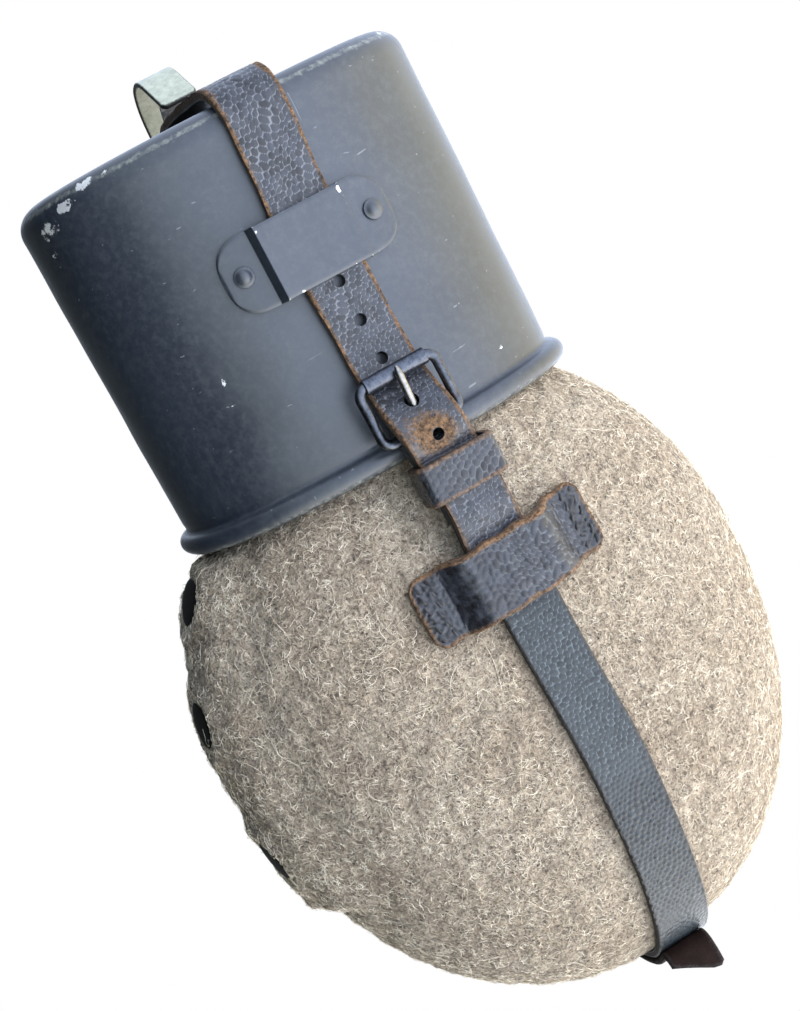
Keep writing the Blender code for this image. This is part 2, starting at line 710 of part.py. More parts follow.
INNER_PLY_Y = 44.0  # the folded-back end of the buckle strap, clear of the cup's bead
BAR_RADIUS = 1.3
BAR_Y = INNER_PLY_Y + BUCKLE_PLY / 2 + GAP + BAR_RADIUS
WRAP = BAR_RADIUS + GAP + BUCKLE_PLY / 2
OUTER_PLY_Y = INNER_PLY_Y + BUCKLE_PLY + GAP
TONGUE_Y = OUTER_PLY_Y + (BUCKLE_PLY + TONGUE_PLY) / 2 + GAP
TONGUE_OVER_WRAP = BAR_Y + WRAP + (BUCKLE_PLY + TONGUE_PLY) / 2 + GAP
TONGUE_ON_CUP = 41.0
ROLLER_RADIUS = 2.0
PRONG_RADIUS = 1.05
ROLLER_Y = 42.9 + TONGUE_PLY / 2 + GAP + ROLLER_RADIUS
REAR_TONGUE_Y = 37.8
REAR_STRAP_Y = REAR_TONGUE_Y + (TONGUE_PLY + BUCKLE_PLY) / 2 + GAP
CHAPE_PLY = 1.8
CHAPE_INNER_Y = REAR_STRAP_Y + (BUCKLE_PLY + CHAPE_PLY) / 2 + GAP
CHAPE_BAR_RADIUS = 1.4
CHAPE_BAR_Y = CHAPE_INNER_Y + CHAPE_PLY / 2 + GAP + CHAPE_BAR_RADIUS
CHAPE_WRAP = CHAPE_BAR_RADIUS + GAP + CHAPE_PLY / 2
CHAPE_OUTER_Y = CHAPE_INNER_Y + CHAPE_PLY + GAP
RIVET_HEIGHTS = (176.5, 198.0)


def buckle_strap_line():
    """From the folded end behind the buckle, round its bar, down the front, under, and up the rear."""
    line = [Vector((-INNER_PLY_Y, z)) for z in (132.0, 138.0, 144.0, 150.0, HEEL_Z)]
    arc = [math.pi * i / 8 for i in range(1, 8)]
    line += [Vector((-BAR_Y + WRAP * math.cos(t), HEEL_Z + WRAP * math.sin(t))) for t in arc]
    line += [Vector((-BAR_Y - WRAP, z)) for z in (HEEL_Z, 154.0)]
    line += [Vector((-OUTER_PLY_Y - 1.6, 151.6))]
    line += [Vector((-OUTER_PLY_Y, z)) for z in (149.0, 142.0, 136.0, 131.0)]
    line += offset_line(felt_support(), GAP + 0.15 + BUCKLE_PLY / 2)
    line += [Vector((REAR_STRAP_Y - 0.6, 149.0)), Vector((REAR_STRAP_Y, 156.0))]
    return line + [Vector((REAR_STRAP_Y, z)) for z in (165.0, 175.0, 185.0, 195.0, 204.0)]


def felt_support():
    """The felt's outline under the strap as (y, z) points: down the front, under and up the rear."""
    front = (124, 117, 110, 102, 94, 86, 78, 70, 62, 54, 46, 39, 32, 26, 20, 15, 11, 8, 5.5)
    points = [Vector((-felt_front_y(z, strap_x(z)), z)) for z in front]
    for y in (-20, -16, -11, -5, 2, 8, 12, 14.5):
        middle = front_middle(Vector((y, 0)))
        reach = (middle - STRAP_HALF, middle - 3, middle + 3, middle + STRAP_HALF)
        points.append(Vector((y, min(felt_underside(x, y) for x in reach))))
    for z in (5.5, 8, 11, 15, 20, 26, 33, 42, 53, 66, 80, 94, 108, 120, 132, 141):
        middle = REAR_X + 1
        reach = (middle - STRAP_HALF, middle, middle + STRAP_HALF)
        points.append(Vector((max(depth_at(x, z, REAR_DEPTH) for x in reach), z)))
    return points


def offset_line(points, distance):
    """The line moved out, to the left of its way round the body."""
    moved = []
    for i, spot in enumerate(points):
        along = points[min(i + 1, len(points) - 1)] - points[max(i - 1, 0)]
        moved.append(spot + Vector((along.y, -along.x)).normalized() * distance)
    return moved


def tongue_line():
    """From its riveted end on the rear, over the cup's base, under the bracket and roller, to its tip."""
    line = [Vector((REAR_TONGUE_Y, z)) for z in (168.0, 178.0, 190.0, 204.0, 218.0)]
    line += [Vector(p) for p in ARCH_LINE]
    line += [Vector((-TONGUE_ON_CUP, z)) for z in (228.0, 218.0, 206.0, 194.0, 184.0, 179.0)]
    rise = ((-TONGUE_ON_CUP - 0.2, 175.0), (-41.8, 171.8), (-42.9, 168.4), (-45.2, 164.8), (-48.2, 161.4))
    rise += ((-51.0, 158.2), (-TONGUE_OVER_WRAP - 0.2, 155.0))
    rise += ((-TONGUE_OVER_WRAP + 0.3, 152.4), (-TONGUE_Y - 0.9, 150.0))
    line += [Vector(p) for p in rise]
    line += [Vector((-TONGUE_Y, z)) for z in (148.2, 142.0, 136.0, 131.5)]
    over = (BUCKLE_PLY + TONGUE_PLY) / 2 + GAP * 2 + 0.15 + BUCKLE_PLY / 2
    for z in (124.0, 119.0, 114.5, 112.0, 110.0, 108.5, 107.5, TIP_Z):
        line.append(Vector((-felt_front_y(z, strap_x(z)) - over, z)))
    return line


def prong_ends():
    """Where the prong's arm starts, at the heel bar, and its tip over the roller."""
    middle = strap_x(ROLLER_Z)
    root = Vector((middle, -BAR_Y - 0.9, HEEL_Z + 2.2))
    return root, Vector((middle, -ROLLER_Y - ROLLER_RADIUS - 1.3, ROLLER_Z + 1.4))


def make_straps(worn_look, strap_look, parent):
    line = buckle_strap_line()
    strap = ribbon(line, BUCKLE_STRAP_HALF, BUCKLE_PLY, front_middle)
    strap = finish("buckle_strap", strap, strap_look, parent)
    slot = bmesh.new()
    bmesh.ops.create_cube(slot, size=1.0, matrix=Matrix.Diagonal((5.0, 12.0, 7.5, 1.0)))
    bmesh.ops.translate(slot, verts=slot.verts, vec=(strap_x(HEEL_Z), -BAR_Y - 2.2, HEEL_Z + 1.2))
    cut(strap, slot, parent)
    tongue_points = tongue_line()
    ends = {len(tongue_points) - 1 - i: half for i, half in enumerate((2.0, 3.9, 5.9, 7.1, 7.8))}
    tongue = ribbon(tongue_points, lambda i: ends.get(i, STRAP_HALF), TONGUE_PLY, front_middle)
    tongue = finish("tongue_strap", tongue, worn_look, parent)
    places = {}
    for z in HOLE_HEIGHTS:
        y, way = on_line(tongue_points, z)
        places[(strap_x(z), y, z)] = way
    punched = holes(places, lambda p: places[tuple(p)], HOLE_RADIUS, 3.0)
    root, tip = prong_ends()
    length = (tip - root).length
    stretch = ((0, -1), (PRONG_RADIUS + GAP + 0.4, -1), (PRONG_RADIUS + GAP + 0.4, length), (0, length))
    add_turned(punched, stretch, root, tip - root, 14)
    cut(tongue, punched, parent)
    return strap, tongue


def outer_strap_y(tongue_points, z):
    """How far forward a keeper's inner face has to stand to clear the tongue strap at a height."""
    return -on_line(tongue_points, z)[0] + TONGUE_PLY / 2 + 2 * GAP


def on_line(line, z):
    """A front line's y at a height, and the way square to it there."""
    front = [p for p in line if p.x < -30]
    for first, second in zip(front, front[1:]):
        if first.y >= z >= second.y:
            share = (first.y - z) / (first.y - second.y)
            along = second - first
            return first.x + along.x * share, Vector((0, along.y, -along.x)).normalized()
    return front[-1].x, Vector((0, -1, 0))


def make_buckle(look, frame_body, roller_body, prong_body):
    middle = strap_x(ROLLER_Z)
    low, high = (-BAR_Y, HEEL_Z), (-ROLLER_Y, ROLLER_Z)
    half, corner = 10.4, 2.4
    wire_points = []
    for sign_x, sign_z in ((1, 1), (-1, 1), (-1, -1), (1, -1)):
        start = {(1, 1): 0, (-1, 1): 90, (-1, -1): 180, (1, -1): 270}[(sign_x, sign_z)]
        for i in range(5):
            turn = math.radians(start + 22.5 * i)
            x = middle + sign_x * (half - corner) + corner * math.cos(turn)
            rise = (1 if sign_z > 0 else 0) * (ROLLER_Z - HEEL_Z) - sign_z * corner + corner * math.sin(turn)
            share = rise / (ROLLER_Z - HEEL_Z)
            y = low[0] + (high[0] - low[0]) * share
            wire_points.append((x, y, HEEL_Z + rise))
    finish("buckle_frame", wire(wire_points, BAR_RADIUS, 10), look, frame_body)
    roller = ((BAR_RADIUS + GAP, -8.4), (ROLLER_RADIUS, -8.4), (ROLLER_RADIUS, 8.4), (BAR_RADIUS + GAP, 8.4))
    make_tube("buckle_roller", roller, (middle, -ROLLER_Y, ROLLER_Z), look, roller_body)
    make_prong(middle, look, prong_body)


def make_tube(name, profile, place, look, parent, segments=20):
    """A tube along X: the profile's points join into a closed loop."""
    turns = [2 * math.pi * i / segments for i in range(segments)]
    centre = Vector(place)
    rings = [[centre + Vector((d, r * math.cos(t), r * math.sin(t))) for t in turns] for r, d in profile]
    return finish(name, ring_solid(rings), look, parent)


def make_prong(middle, look, parent):
    """The prong: an eye round the heel bar, and an arm that tapers to a tip over the roller."""
    eye_in, eye_out, half = BAR_RADIUS + GAP, BAR_RADIUS + GAP + 1.1, 1.5
    sides = 20
    turns = [2 * math.pi * i / sides for i in range(sides)]
    centre = Vector((middle, -BAR_Y, HEEL_Z))
    profile = ((eye_in, -half), (eye_out, -half), (eye_out, half), (eye_in, half))
    rings = [[centre + Vector((d, r * math.cos(t), r * math.sin(t))) for t in turns] for r, d in profile]
    eye = finish("buckle_prong", ring_solid(rings), look, parent)
    root, tip = prong_ends()
    length = (tip - root).length
    r = PRONG_RADIUS
    arm_profile = ((0, 0), (r, 0), (r, length * 0.78), (0.76 * r, length * 0.92))
    arm_profile += ((0.25, length), (0, length))
    arm = finish("buckle_prong.arm", turned(arm_profile, root, tip - root, 12), None, parent)
    join(eye, arm)


def make_slider(look, parent):
    """The sliding keeper: a closed leather loop round both straps."""
    middle, back, front = strap_x(SLIDER_Z), 41.1, TONGUE_Y + TONGUE_PLY / 2 + GAP + 1.7
    half, ply, corner = STRAP_HALF + 0.9 + 1.7, 1.7, 2.4
    centre_y, half_y = -(back + front) / 2, (front - back) / 2

    def loop(inset):
        spots = []
        for quarter in range(4):
            turn_start = quarter * math.pi / 2
            corner_x = (half - corner) * (1, -1, -1, 1)[quarter]
            corner_y = (half_y - corner) * (1, 1, -1, -1)[quarter]
            for i in range(5):
                turn = turn_start + math.pi / 8 * i
                reach = corner - inset
                x, y = middle + corner_x, centre_y + corner_y
                spots.append((x + reach * math.cos(turn), y + reach * math.sin(turn)))
        return spots

    low, high = SLIDER_Z - SLIDER_HEIGHT / 2, SLIDER_Z + SLIDER_HEIGHT / 2
    edges = ((0, low), (0, high), (ply, high), (ply, low))
    rings = [[(x, y, z) for x, y in loop(inset)] for inset, z in edges]
    finish("sliding_keeper", ring_solid(rings), look, parent)


def make_cross_keeper(name, look, parent, z_middle, rear, over, half_long, tilt):
    """A leather band sewn across a strap: its ends lie on the felt, its middle stands over the strap."""
    side = 1 if rear else -1
    greatest = REAR_DEPTH if rear else FRONT_DEPTH
    middle = REAR_X + 1.2 if rear else strap_x(z_middle)
    ply, end_round, half_height = 2.1, 4.0, KEEPER_HEIGHT / 2
    half_stations = (0.2, 0.42, 0.5, 0.6, 0.72, 0.85, 0.93, 0.985, 1)
    stations = [-s for s in reversed(half_stations)] + [0, *half_stations]
    rows, thick_rows = [], []
    for station in stations:
        x = middle + station * half_long
        beyond = max(0.0, abs(station) * half_long - (half_long - end_round))
        high = half_height - end_round + math.sqrt(max(0.0, end_round**2 - beyond**2))
        inner_row, outer_row = [], []
        for share in (-1, -0.5, 0, 0.5, 1):
            z = z_middle + share * high + math.tan(tilt) * (x - middle)
            felt = max(depth_at(x + dx, z, greatest) for dx in (-2, 0, 2)) + GAP + 0.2
            raised = max(over(z), felt)
            lift = smooth_step((0.66 - abs(station)) / 0.26)
            y = felt + (raised - felt) * lift
            inner_row.append((x, side * y, z))
            outer_row.append((x, side * (y + ply), z))
        rows.append(outer_row)
        thick_rows.append(inner_row)
    finish(name, grid_solid(rows, thick_rows), look, parent)


def make_bottom_tab(look, parent):
    """A leather tab under the strap's bend: it lies below the bottom, and droops in front."""
    ply = 1.8
    under = offset_line(felt_support(), 2 * GAP + 0.15 + BUCKLE_PLY + ply / 2)
    held = [spot for spot in under if spot.y < 4.6 and spot.x < 12]
    first = held[0]
    droop = [first + Vector(step) for step in ((-4.6, -10.8), (-4.3, -7.2), (-3.7, -3.6), (-2.4, -0.9))]
    line = curve_through(droop + held, 2)
    lengths = [0.0]
    for start, end in zip(line, line[1:]):
        lengths.append(lengths[-1] + (end - start).length)

    def on_length(length):
        for i in range(len(line) - 2):
            if lengths[i + 1] >= length:
                break
        share = (length - lengths[i]) / (lengths[i + 1] - lengths[i])
        along = (line[i + 1] - line[i]).normalized()
        return line[i].lerp(line[i + 1], share), Vector((along.y, -along.x)) * (ply / 2)

    rows, thick_rows = [], []
    for k in range(TAB_ROWS + 1):
        row, thick_row = [], []
        for x, cut_back in TAB_EDGE:
            length = cut_back + (lengths[-1] - cut_back) * k / TAB_ROWS
            spot, across = on_length(length)
            row.append((x, spot.x + across.x, spot.y + across.y))
            thick_row.append((x, spot.x - across.x, spot.y - across.y))
        rows.append(row)
        thick_rows.append(thick_row)
    finish("bottom_tab", grid_solid(rows, thick_rows), look, parent)


def make_chape(look, rivet_look, straps, parent):
    """The leather loop that holds the hook's bar, and the two rivets that join it and both straps."""
    line = [Vector((CHAPE_INNER_Y, z)) for z in (170.0, 182.0, 194.0, 204.0, CHAPE_BAR_Z)]
    arc = [math.pi * i / 8 for i in range(1, 8)]
    bar = Vector((CHAPE_BAR_Y, CHAPE_BAR_Z))
    line += [bar + Vector((-math.cos(t), math.sin(t))) * CHAPE_WRAP for t in arc]
    line += [Vector((CHAPE_BAR_Y + CHAPE_WRAP, CHAPE_BAR_Z)), Vector((CHAPE_OUTER_Y + 1.6, 207.0))]
    line += [Vector((CHAPE_OUTER_Y, z)) for z in (202.5, 194.0, 182.0, 170.0)]
    chape = ribbon(line, STRAP_HALF - 0.5, CHAPE_PLY, lambda spot: REAR_X)
    chape = finish("hook_chape", chape, look, parent)
    slot = bmesh.new()
    bmesh.ops.create_cube(slot, size=1.0, matrix=Matrix.Diagonal((HOOK_WIDTH + 1.2, 14.0, 17.0, 1.0)))
    bmesh.ops.translate(slot, verts=slot.verts, vec=(REAR_X, CHAPE_BAR_Y + 5.4, CHAPE_BAR_Z + 0.0))
    cut(chape, slot, parent)
    outside = CHAPE_OUTER_Y + CHAPE_PLY / 2
    through = outside - (REAR_TONGUE_Y - TONGUE_PLY / 2) + GAP
    ways = {(REAR_X, outside, z): Vector((0, 1, 0)) for z in RIVET_HEIGHTS}
    for number, place in enumerate(ways, 1):
        rivet = turned(rivet_profile(through), place, (0, 1, 0), 12)
        finish(f"chape_rivet_{number}", rivet, rivet_look, parent)
    for target in (chape, *straps):
        cut(target, holes(ways, lambda p: ways[tuple(p)], 1.5, 14.0), parent)


def make_hook(look, spring_look, hook_body, gate_body):
    strip = curve_through(HOOK_LINE, 3)
    half = HOOK_WIDTH / 2

    def rounded_tip(i):
        return min(half, half - 1.2 + 0.6 * (len(strip) - 1 - i))

    hook = ribbon(strip, rounded_tip, HOOK_PLY, lambda spot: REAR_X)
    hook = finish("belt_hook", hook, look, hook_body)
    bar = bmesh.new()
    profile = ((0, -8.4), (CHAPE_BAR_RADIUS, -8.4), (CHAPE_BAR_RADIUS, 8.4), (0, 8.4))
    add_turned(bar, profile, (REAR_X, CHAPE_BAR_Y, CHAPE_BAR_Z), (1, 0, 0), 14)
    bar = finish("belt_hook.bar", bar, None, hook_body)
    middle = Vector((CHAPE_BAR_Y, CHAPE_BAR_Z))
    neck = [middle - Vector((0.2, 0.3)), middle + Vector((1.2, 1.4)), Vector((47.9, 216.8))]
    neck = ribbon(neck, half - 0.1, 1.3, lambda spot: REAR_X)
    neck = finish("belt_hook.neck", neck, None, hook_body)
    ears = []
    for side in (-1, 1):
        ear = bmesh.new()
        bmesh.ops.create_cube(ear, size=1.0, matrix=Matrix.Diagonal((0.9, 5.6, 4.2, 1.0)))
        place = (REAR_X + side * (half - 0.55), GATE_PIVOT[0] + 1.2, GATE_PIVOT[1])
        bmesh.ops.translate(ear, verts=ear.verts, vec=place)
        ears.append(finish(f"belt_hook.ear{side}", ear, None, hook_body, smooth=False))
    for piece in (neck, bar, *ears):
        join(hook, piece)
    pin_place = (REAR_X, *GATE_PIVOT)
    along_x = Vector((1, 0, 0))
    cut(hook, holes([pin_place], lambda p: along_x, GATE_PIN_RADIUS + GAP, half + 1), hook_body)
    reach = half + 0.4
    r = GATE_PIN_RADIUS
    pin = turned(((0, -reach), (r, -reach), (r, reach), (0, reach)), pin_place, along_x, 12)
    finish("gate_pin", pin, spring_look, hook_body)
    width = half - 1.7
    eye_profile = ((r + GAP, -width), (r + GAP + 0.8, -width), (r + GAP + 0.8, width), (r + GAP, width))
    gate = make_tube("hook_gate", eye_profile, pin_place, spring_look, gate_body, 14)
    blade = ribbon(curve_through(GATE_LINE, 2), width - 0.1, 1.0, lambda spot: REAR_X)
    join(gate, finish("hook_gate.blade", blade, None, gate_body))


def join(target, piece):
    """Adds a helper's solid to target, and leaves the helper out of the model."""
    piece.hide_render = True
    piece.display_type = "WIRE"
    modifier = target.modifiers.new("Join", "BOOLEAN")
    modifier.operation = "UNION"
    modifier.solver = "EXACT"
    modifier.object = piece


# ---------------------------------------------------------------- assembly


def clear_scene():
    for old in list(bpy.data.objects):
        bpy.data.objects.remove(old)


def build():
    clear_scene()
    felt = material("wool_felt", (0.36, 0.32, 0.28), 0.95)
    metal = material("flask_aluminium", (0.72, 0.73, 0.74), 0.35, 1.0)
    paint = material("cup_paint", (0.035, 0.042, 0.052), 0.38)
    bakelite = material("stopper_bakelite", (0.02, 0.016, 0.014), 0.3)
    rubber = material("seal_rubber", (0.16, 0.05, 0.03), 0.8)
    snap = material("snap_paint", (0.015, 0.014, 0.013), 0.4)
    brass = material("snap_brass", (0.55, 0.42, 0.2), 0.35, 1.0)
    worn = material("worn_leather", (0.055, 0.05, 0.052), 0.55)
    strap = material("strap_leather", (0.02, 0.024, 0.03), 0.42)
    steel = material("buckle_steel", (0.09, 0.1, 0.115), 0.35, 1.0)
    wire_steel = material("handle_steel", (0.3, 0.3, 0.31), 0.4, 1.0)
    hook_paint = material("hook_paint", (0.3, 0.34, 0.3), 0.5)

    flask = body("flask", (0.0, 0.0, 0.0))
    cup = body("cup", (0.0, 0.0, CUP_RIM_Z), flask)
    lifted = body("stopper_lift", (0.0, 0.0, MOUTH_Z), flask)
    turning = body("stopper", (0.0, 0.0, MOUTH_Z), lifted)
    hinge_y = cup_depth(HANDLE_HINGE_X, 200, True) + HANDLE_STAND
    handles = {
        word: body(f"handle_{word}", (side * HANDLE_HINGE_X, hinge_y, 200.5), cup)
        for side, word in ((-1, "left"), (1, "right"))
    }
    middle = strap_x(ROLLER_Z)
    buckle = body("buckle", (middle, -BAR_Y, HEEL_Z), flask)
    roller = body("roller", (middle, -ROLLER_Y, ROLLER_Z), buckle)
    prong = body("prong", (middle, -BAR_Y, HEEL_Z), buckle)
    slider = body("slider", (middle, -TONGUE_Y, SLIDER_Z), flask)
    hook = body("hook", (REAR_X, CHAPE_BAR_Y, CHAPE_BAR_Z), flask)
    gate = body("gate", (REAR_X, *GATE_PIVOT), hook)

    make_flask(metal, flask)
    make_felt(felt, flask)
    make_snaps(snap, brass, flask)
    make_stopper(bakelite, rubber, lifted, turning)
    shell = make_cup(paint, cup)
    rivet_ways = make_bracket(shell, paint, paint, cup)
    rivet_ways.update(make_handles(wire_steel, wire_steel, paint, cup, handles))
    cut(shell, holes(rivet_ways, lambda p: rivet_ways[tuple(p)], 1.5, 4.0), cup)
    straps = make_straps(worn, strap, flask)
    make_buckle(steel, buckle, roller, prong)
    make_slider(worn, slider)
    tongue_points = tongue_line()
    make_cross_keeper(
        "front_keeper", worn, flask, FRONT_KEEPER_Z, False,
        lambda z: outer_strap_y(tongue_points, z), 24.8, math.radians(2.5),
    )
    make_cross_keeper(
        "rear_keeper", worn, flask, REAR_KEEPER_Z, True,
        lambda z: depth_at(REAR_X, z, REAR_DEPTH) + BUCKLE_PLY + 3 * GAP + 0.4, 24.0, 0.0,
    )
    make_bottom_tab(worn, flask)
    make_chape(strap, steel, straps, flask)
    make_hook(hook_paint, wire_steel, hook, gate)


build()
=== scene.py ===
"""The canteen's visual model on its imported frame. Lengths are millimetres in the canteen's own frame,
measured from the felt's bottom with the front facing -Y, until a mesh is made."""

import math

import bpy
import numpy as np
from mathutils import Matrix, Vector
from mathutils.kdtree import KDTree


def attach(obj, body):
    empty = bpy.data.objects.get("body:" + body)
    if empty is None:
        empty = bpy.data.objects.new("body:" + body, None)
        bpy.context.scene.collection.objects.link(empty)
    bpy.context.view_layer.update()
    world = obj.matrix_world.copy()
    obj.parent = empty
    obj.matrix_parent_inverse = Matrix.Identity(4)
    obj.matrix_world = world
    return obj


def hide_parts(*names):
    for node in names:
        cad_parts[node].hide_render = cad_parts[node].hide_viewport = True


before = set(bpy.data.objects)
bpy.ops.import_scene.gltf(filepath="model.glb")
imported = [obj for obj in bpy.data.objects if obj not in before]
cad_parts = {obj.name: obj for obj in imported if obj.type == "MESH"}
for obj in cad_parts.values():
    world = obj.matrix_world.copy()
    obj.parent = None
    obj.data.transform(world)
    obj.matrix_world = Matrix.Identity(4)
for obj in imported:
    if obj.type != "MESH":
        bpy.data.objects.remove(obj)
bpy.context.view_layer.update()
ORIGIN = np.array((3.0, 43.0, 261.7))

# Body, cup and harness sizes, as in the part
BODY_HALF_WIDTH, BODY_TOP, WIDEST_Z, DEEPEST_Z = 73.0, 170.0, 91.0, 85.0
FRONT_DEPTH, REAR_DEPTH, SQUARENESS, BODY_LEAN = 45.0, 34.0, 2.3, 3.4
FELT, FELT_TOP, GAP = 2.2, 163.5, 0.3
FLAP_SWELL, FLAP_LOW, FLAP_HIGH, FLAP_REACH, TUCK_REACH = 3.4, 53.0, 149.5, 26.0, 9.0
SNAP_HEIGHTS, SNAP_ANGLE, SNAP_TURN, SNAP_RADIUS = (140.5, 112.0, 72.5), 177.0, 0.12, 6.0
CUP_RIM_Z, CUP_TOP_Z, CUP_EDGE, CUP_WALL = 150.0, 244.0, 6.5, 1.0
CUP_FRONT, CUP_REAR, BEAD_RADIUS, BEAD_PROUD = 39.2, 35.2, 2.6, 3.0
STRAP_HALF, BUCKLE_STRAP_HALF, BUCKLE_PLY, TONGUE_PLY = 8.0, 7.6, 2.0, 2.3
STRAP_KEYS = ((244, 3.0), (205, 1.4), (160, 2.1), (141, 4.8), (105, 5.2), (57, 6.8), (0, 6.8))
BRACKET_Z, HEEL_Z, ROLLER_Z, REAR_X = 205.7, 155.5, 170.4, 3.0
HOLE_HEIGHTS, HOLE_RADIUS = (194.8, 184.5, 174.1, 153.6), 1.5
ARCH_LINE = (
    (37.8, 233.0), (37.2, 238.8), (35.0, 242.8), (31.5, 245.7), (27.5, 247.3), (22.0, 248.1),
    (13.4, 248.7), (4.0, 248.8), (-5.0, 248.7), (-13.0, 248.5), (-21.0, 248.3), (-28.0, 247.9),
    (-33.0, 247.3), (-35.6, 246.4), (-38.0, 244.7), (-39.8, 242.4), (-40.8, 239.6), (-41.0, 236.0),
)  # fmt: skip
INNER_PLY_Y, BAR_RADIUS, BAR_Y, WRAP, OUTER_PLY_Y = 44.0, 1.3, 46.6, 2.6, 46.3
TONGUE_Y, TONGUE_OVER_WRAP, TONGUE_ON_CUP = 48.75, 51.65, 41.0
ROLLER_RADIUS, ROLLER_Y, PRONG_RADIUS = 2.0, 46.35, 1.05
REAR_TONGUE_Y, REAR_STRAP_Y, CHAPE_PLY = 37.8, 40.25, 1.8
CHAPE_INNER_Y, CHAPE_BAR_Y, CHAPE_BAR_Z, CHAPE_WRAP, CHAPE_OUTER_Y = 42.45, 45.05, 213.0, 2.6, 44.55
SLIDER_Z, SLIDER_HEIGHT, FRONT_KEEPER_Z, REAR_KEEPER_Z, KEEPER_HEIGHT = 143.0, 10.0, 116.6, 98.0, 18.0
TAB_EDGE = ((-0.8, 8.2), (2.4, 6.6), (5.8, 4.6), (8.8, 2.8), (11.0, 2.2), (12.2, 3.2))
HOOK_HALF, HOOK_PLY = 5.25, 1.5
HOOK_LINE = (
    (47.3, 215.0), (50.2, 224.0), (53.6, 235.0), (55.0, 246.0), (53.0, 255.0),
    (48.0, 260.6), (42.0, 262.6), (36.0, 261.7), (29.0, 257.2), (22.4, 252.6),
)  # fmt: skip
GATE_PIVOT = (46.2, 223.0)


# ---------------------------------------------------------------- numbers


def step(value):
    share = np.clip(value, 0.0, 1.0)
    return share * share * (3 - 2 * share)


def keyed(points, value):
    """The smoothly eased value at this key in ((key, value), ...), whose keys fall."""
    value = np.asarray(value, dtype=float)
    made = np.full(value.shape, float(points[-1][1]))
    for (high, first), (low, second) in reversed(list(zip(points, points[1:]))):
        eased = first + (second - first) * step((high - value) / (high - low))
        made = np.where(value >= low, eased, made)
    return np.where(value >= points[0][0], points[0][1], made)


def oval(share, power):
    return np.maximum(0.0, 1 - np.minimum(1.0, np.abs(share)) ** power) ** (1 / power)


def ripple(points, wavelength, seed, waves=14):
    """A smooth random field of about -1 to 1 at these points, with this wavelength."""
    chance = np.random.RandomState(int(seed))
    total = np.zeros(points.shape[:-1])
    for _ in range(waves):
        way = chance.normal(size=points.shape[-1])
        way *= 2 * math.pi / wavelength / np.linalg.norm(way) * chance.uniform(0.6, 1.5)
        total += np.sin(points @ way + chance.uniform(0, 6.28))
    return total / math.sqrt(waves)


def cells(u, v, pitch, seed, jitter=0.2):
    """How far each (u, v) is inside its grain cell, from 0 at the outline, and the cell's own number."""
    best, second, tone = np.full(u.shape, 1e9), np.full(u.shape, 1e9), np.zeros(u.shape)
    tall = pitch * 0.866
    for row_step in range(-2, 3):
        row = np.floor(v / tall) + row_step
        shift = (row % 2) * 0.5
        for column_step in range(-2, 4):
            column = np.floor(u / pitch - shift) + column_step
            one = np.sin(column * 127.1 + row * 311.7 + seed) * 43758.5453 % 1.0
            two = np.sin(column * 269.5 + row * 183.3 + seed) * 43758.5453 % 1.0
            spot_u = (column + shift + (one - 0.5) * 2 * jitter) * pitch
            spot_v = (row + (two - 0.5) * 2 * jitter) * tall
            far = np.hypot(u - spot_u, v - spot_v)
            closer = far < best
            second = np.where(closer, best, np.minimum(second, far))
            tone = np.where(closer, one, tone)
            best = np.minimum(best, far)
    return second - best, tone


def length_along(line):
    """The line's length up to each of its points."""
    return np.concatenate([[0], np.cumsum(np.linalg.norm(np.diff(line, axis=0), axis=1))])


# ---------------------------------------------------------------- meshes


def piece(name, points, faces, look, node_names=(), body="flask", fields=None, slot=None, sharp=40):
    """One object from points in the canteen's millimetres, which rides a body and stands for CAD nodes."""
    mesh = bpy.data.meshes.new(name)
    mesh.from_pydata(((np.asarray(points) - ORIGIN) * 0.001).tolist(), [], faces)
    mesh.shade_smooth()
    mesh.set_sharp_from_angle(angle=math.radians(sharp))
    for key, values in (fields or {}).items():
        layer = mesh.attributes.new(key, "FLOAT", "POINT")
        layer.data.foreach_set("value", np.asarray(values, dtype=np.float32).ravel())
    made = bpy.data.objects.new(name, mesh)
    bpy.context.scene.collection.objects.link(made)
    mesh.materials.append(look)
    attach(made, body)
    if node_names:
        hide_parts(*node_names)
    return made


def facing_out(points, faces):
    """The faces turned so that the closed mesh they make has its normals outside."""
    a, b, c = points[faces[:, 0]], points[faces[:, 1]], points[faces[:, 2]]
    d = points[faces[:, 3]]
    volume = np.einsum("ij,ij->i", a, np.cross(b, c) + np.cross(c, d)).sum()
    return faces[:, ::-1] if volume < 0 else faces


def grid_faces(index, closed):
    if closed:
        index = np.hstack([index, index[:, :1]])
    return np.stack([index[:-1, :-1], index[:-1, 1:], index[1:, 1:], index[1:, :-1]], -1).reshape(-1, 4)


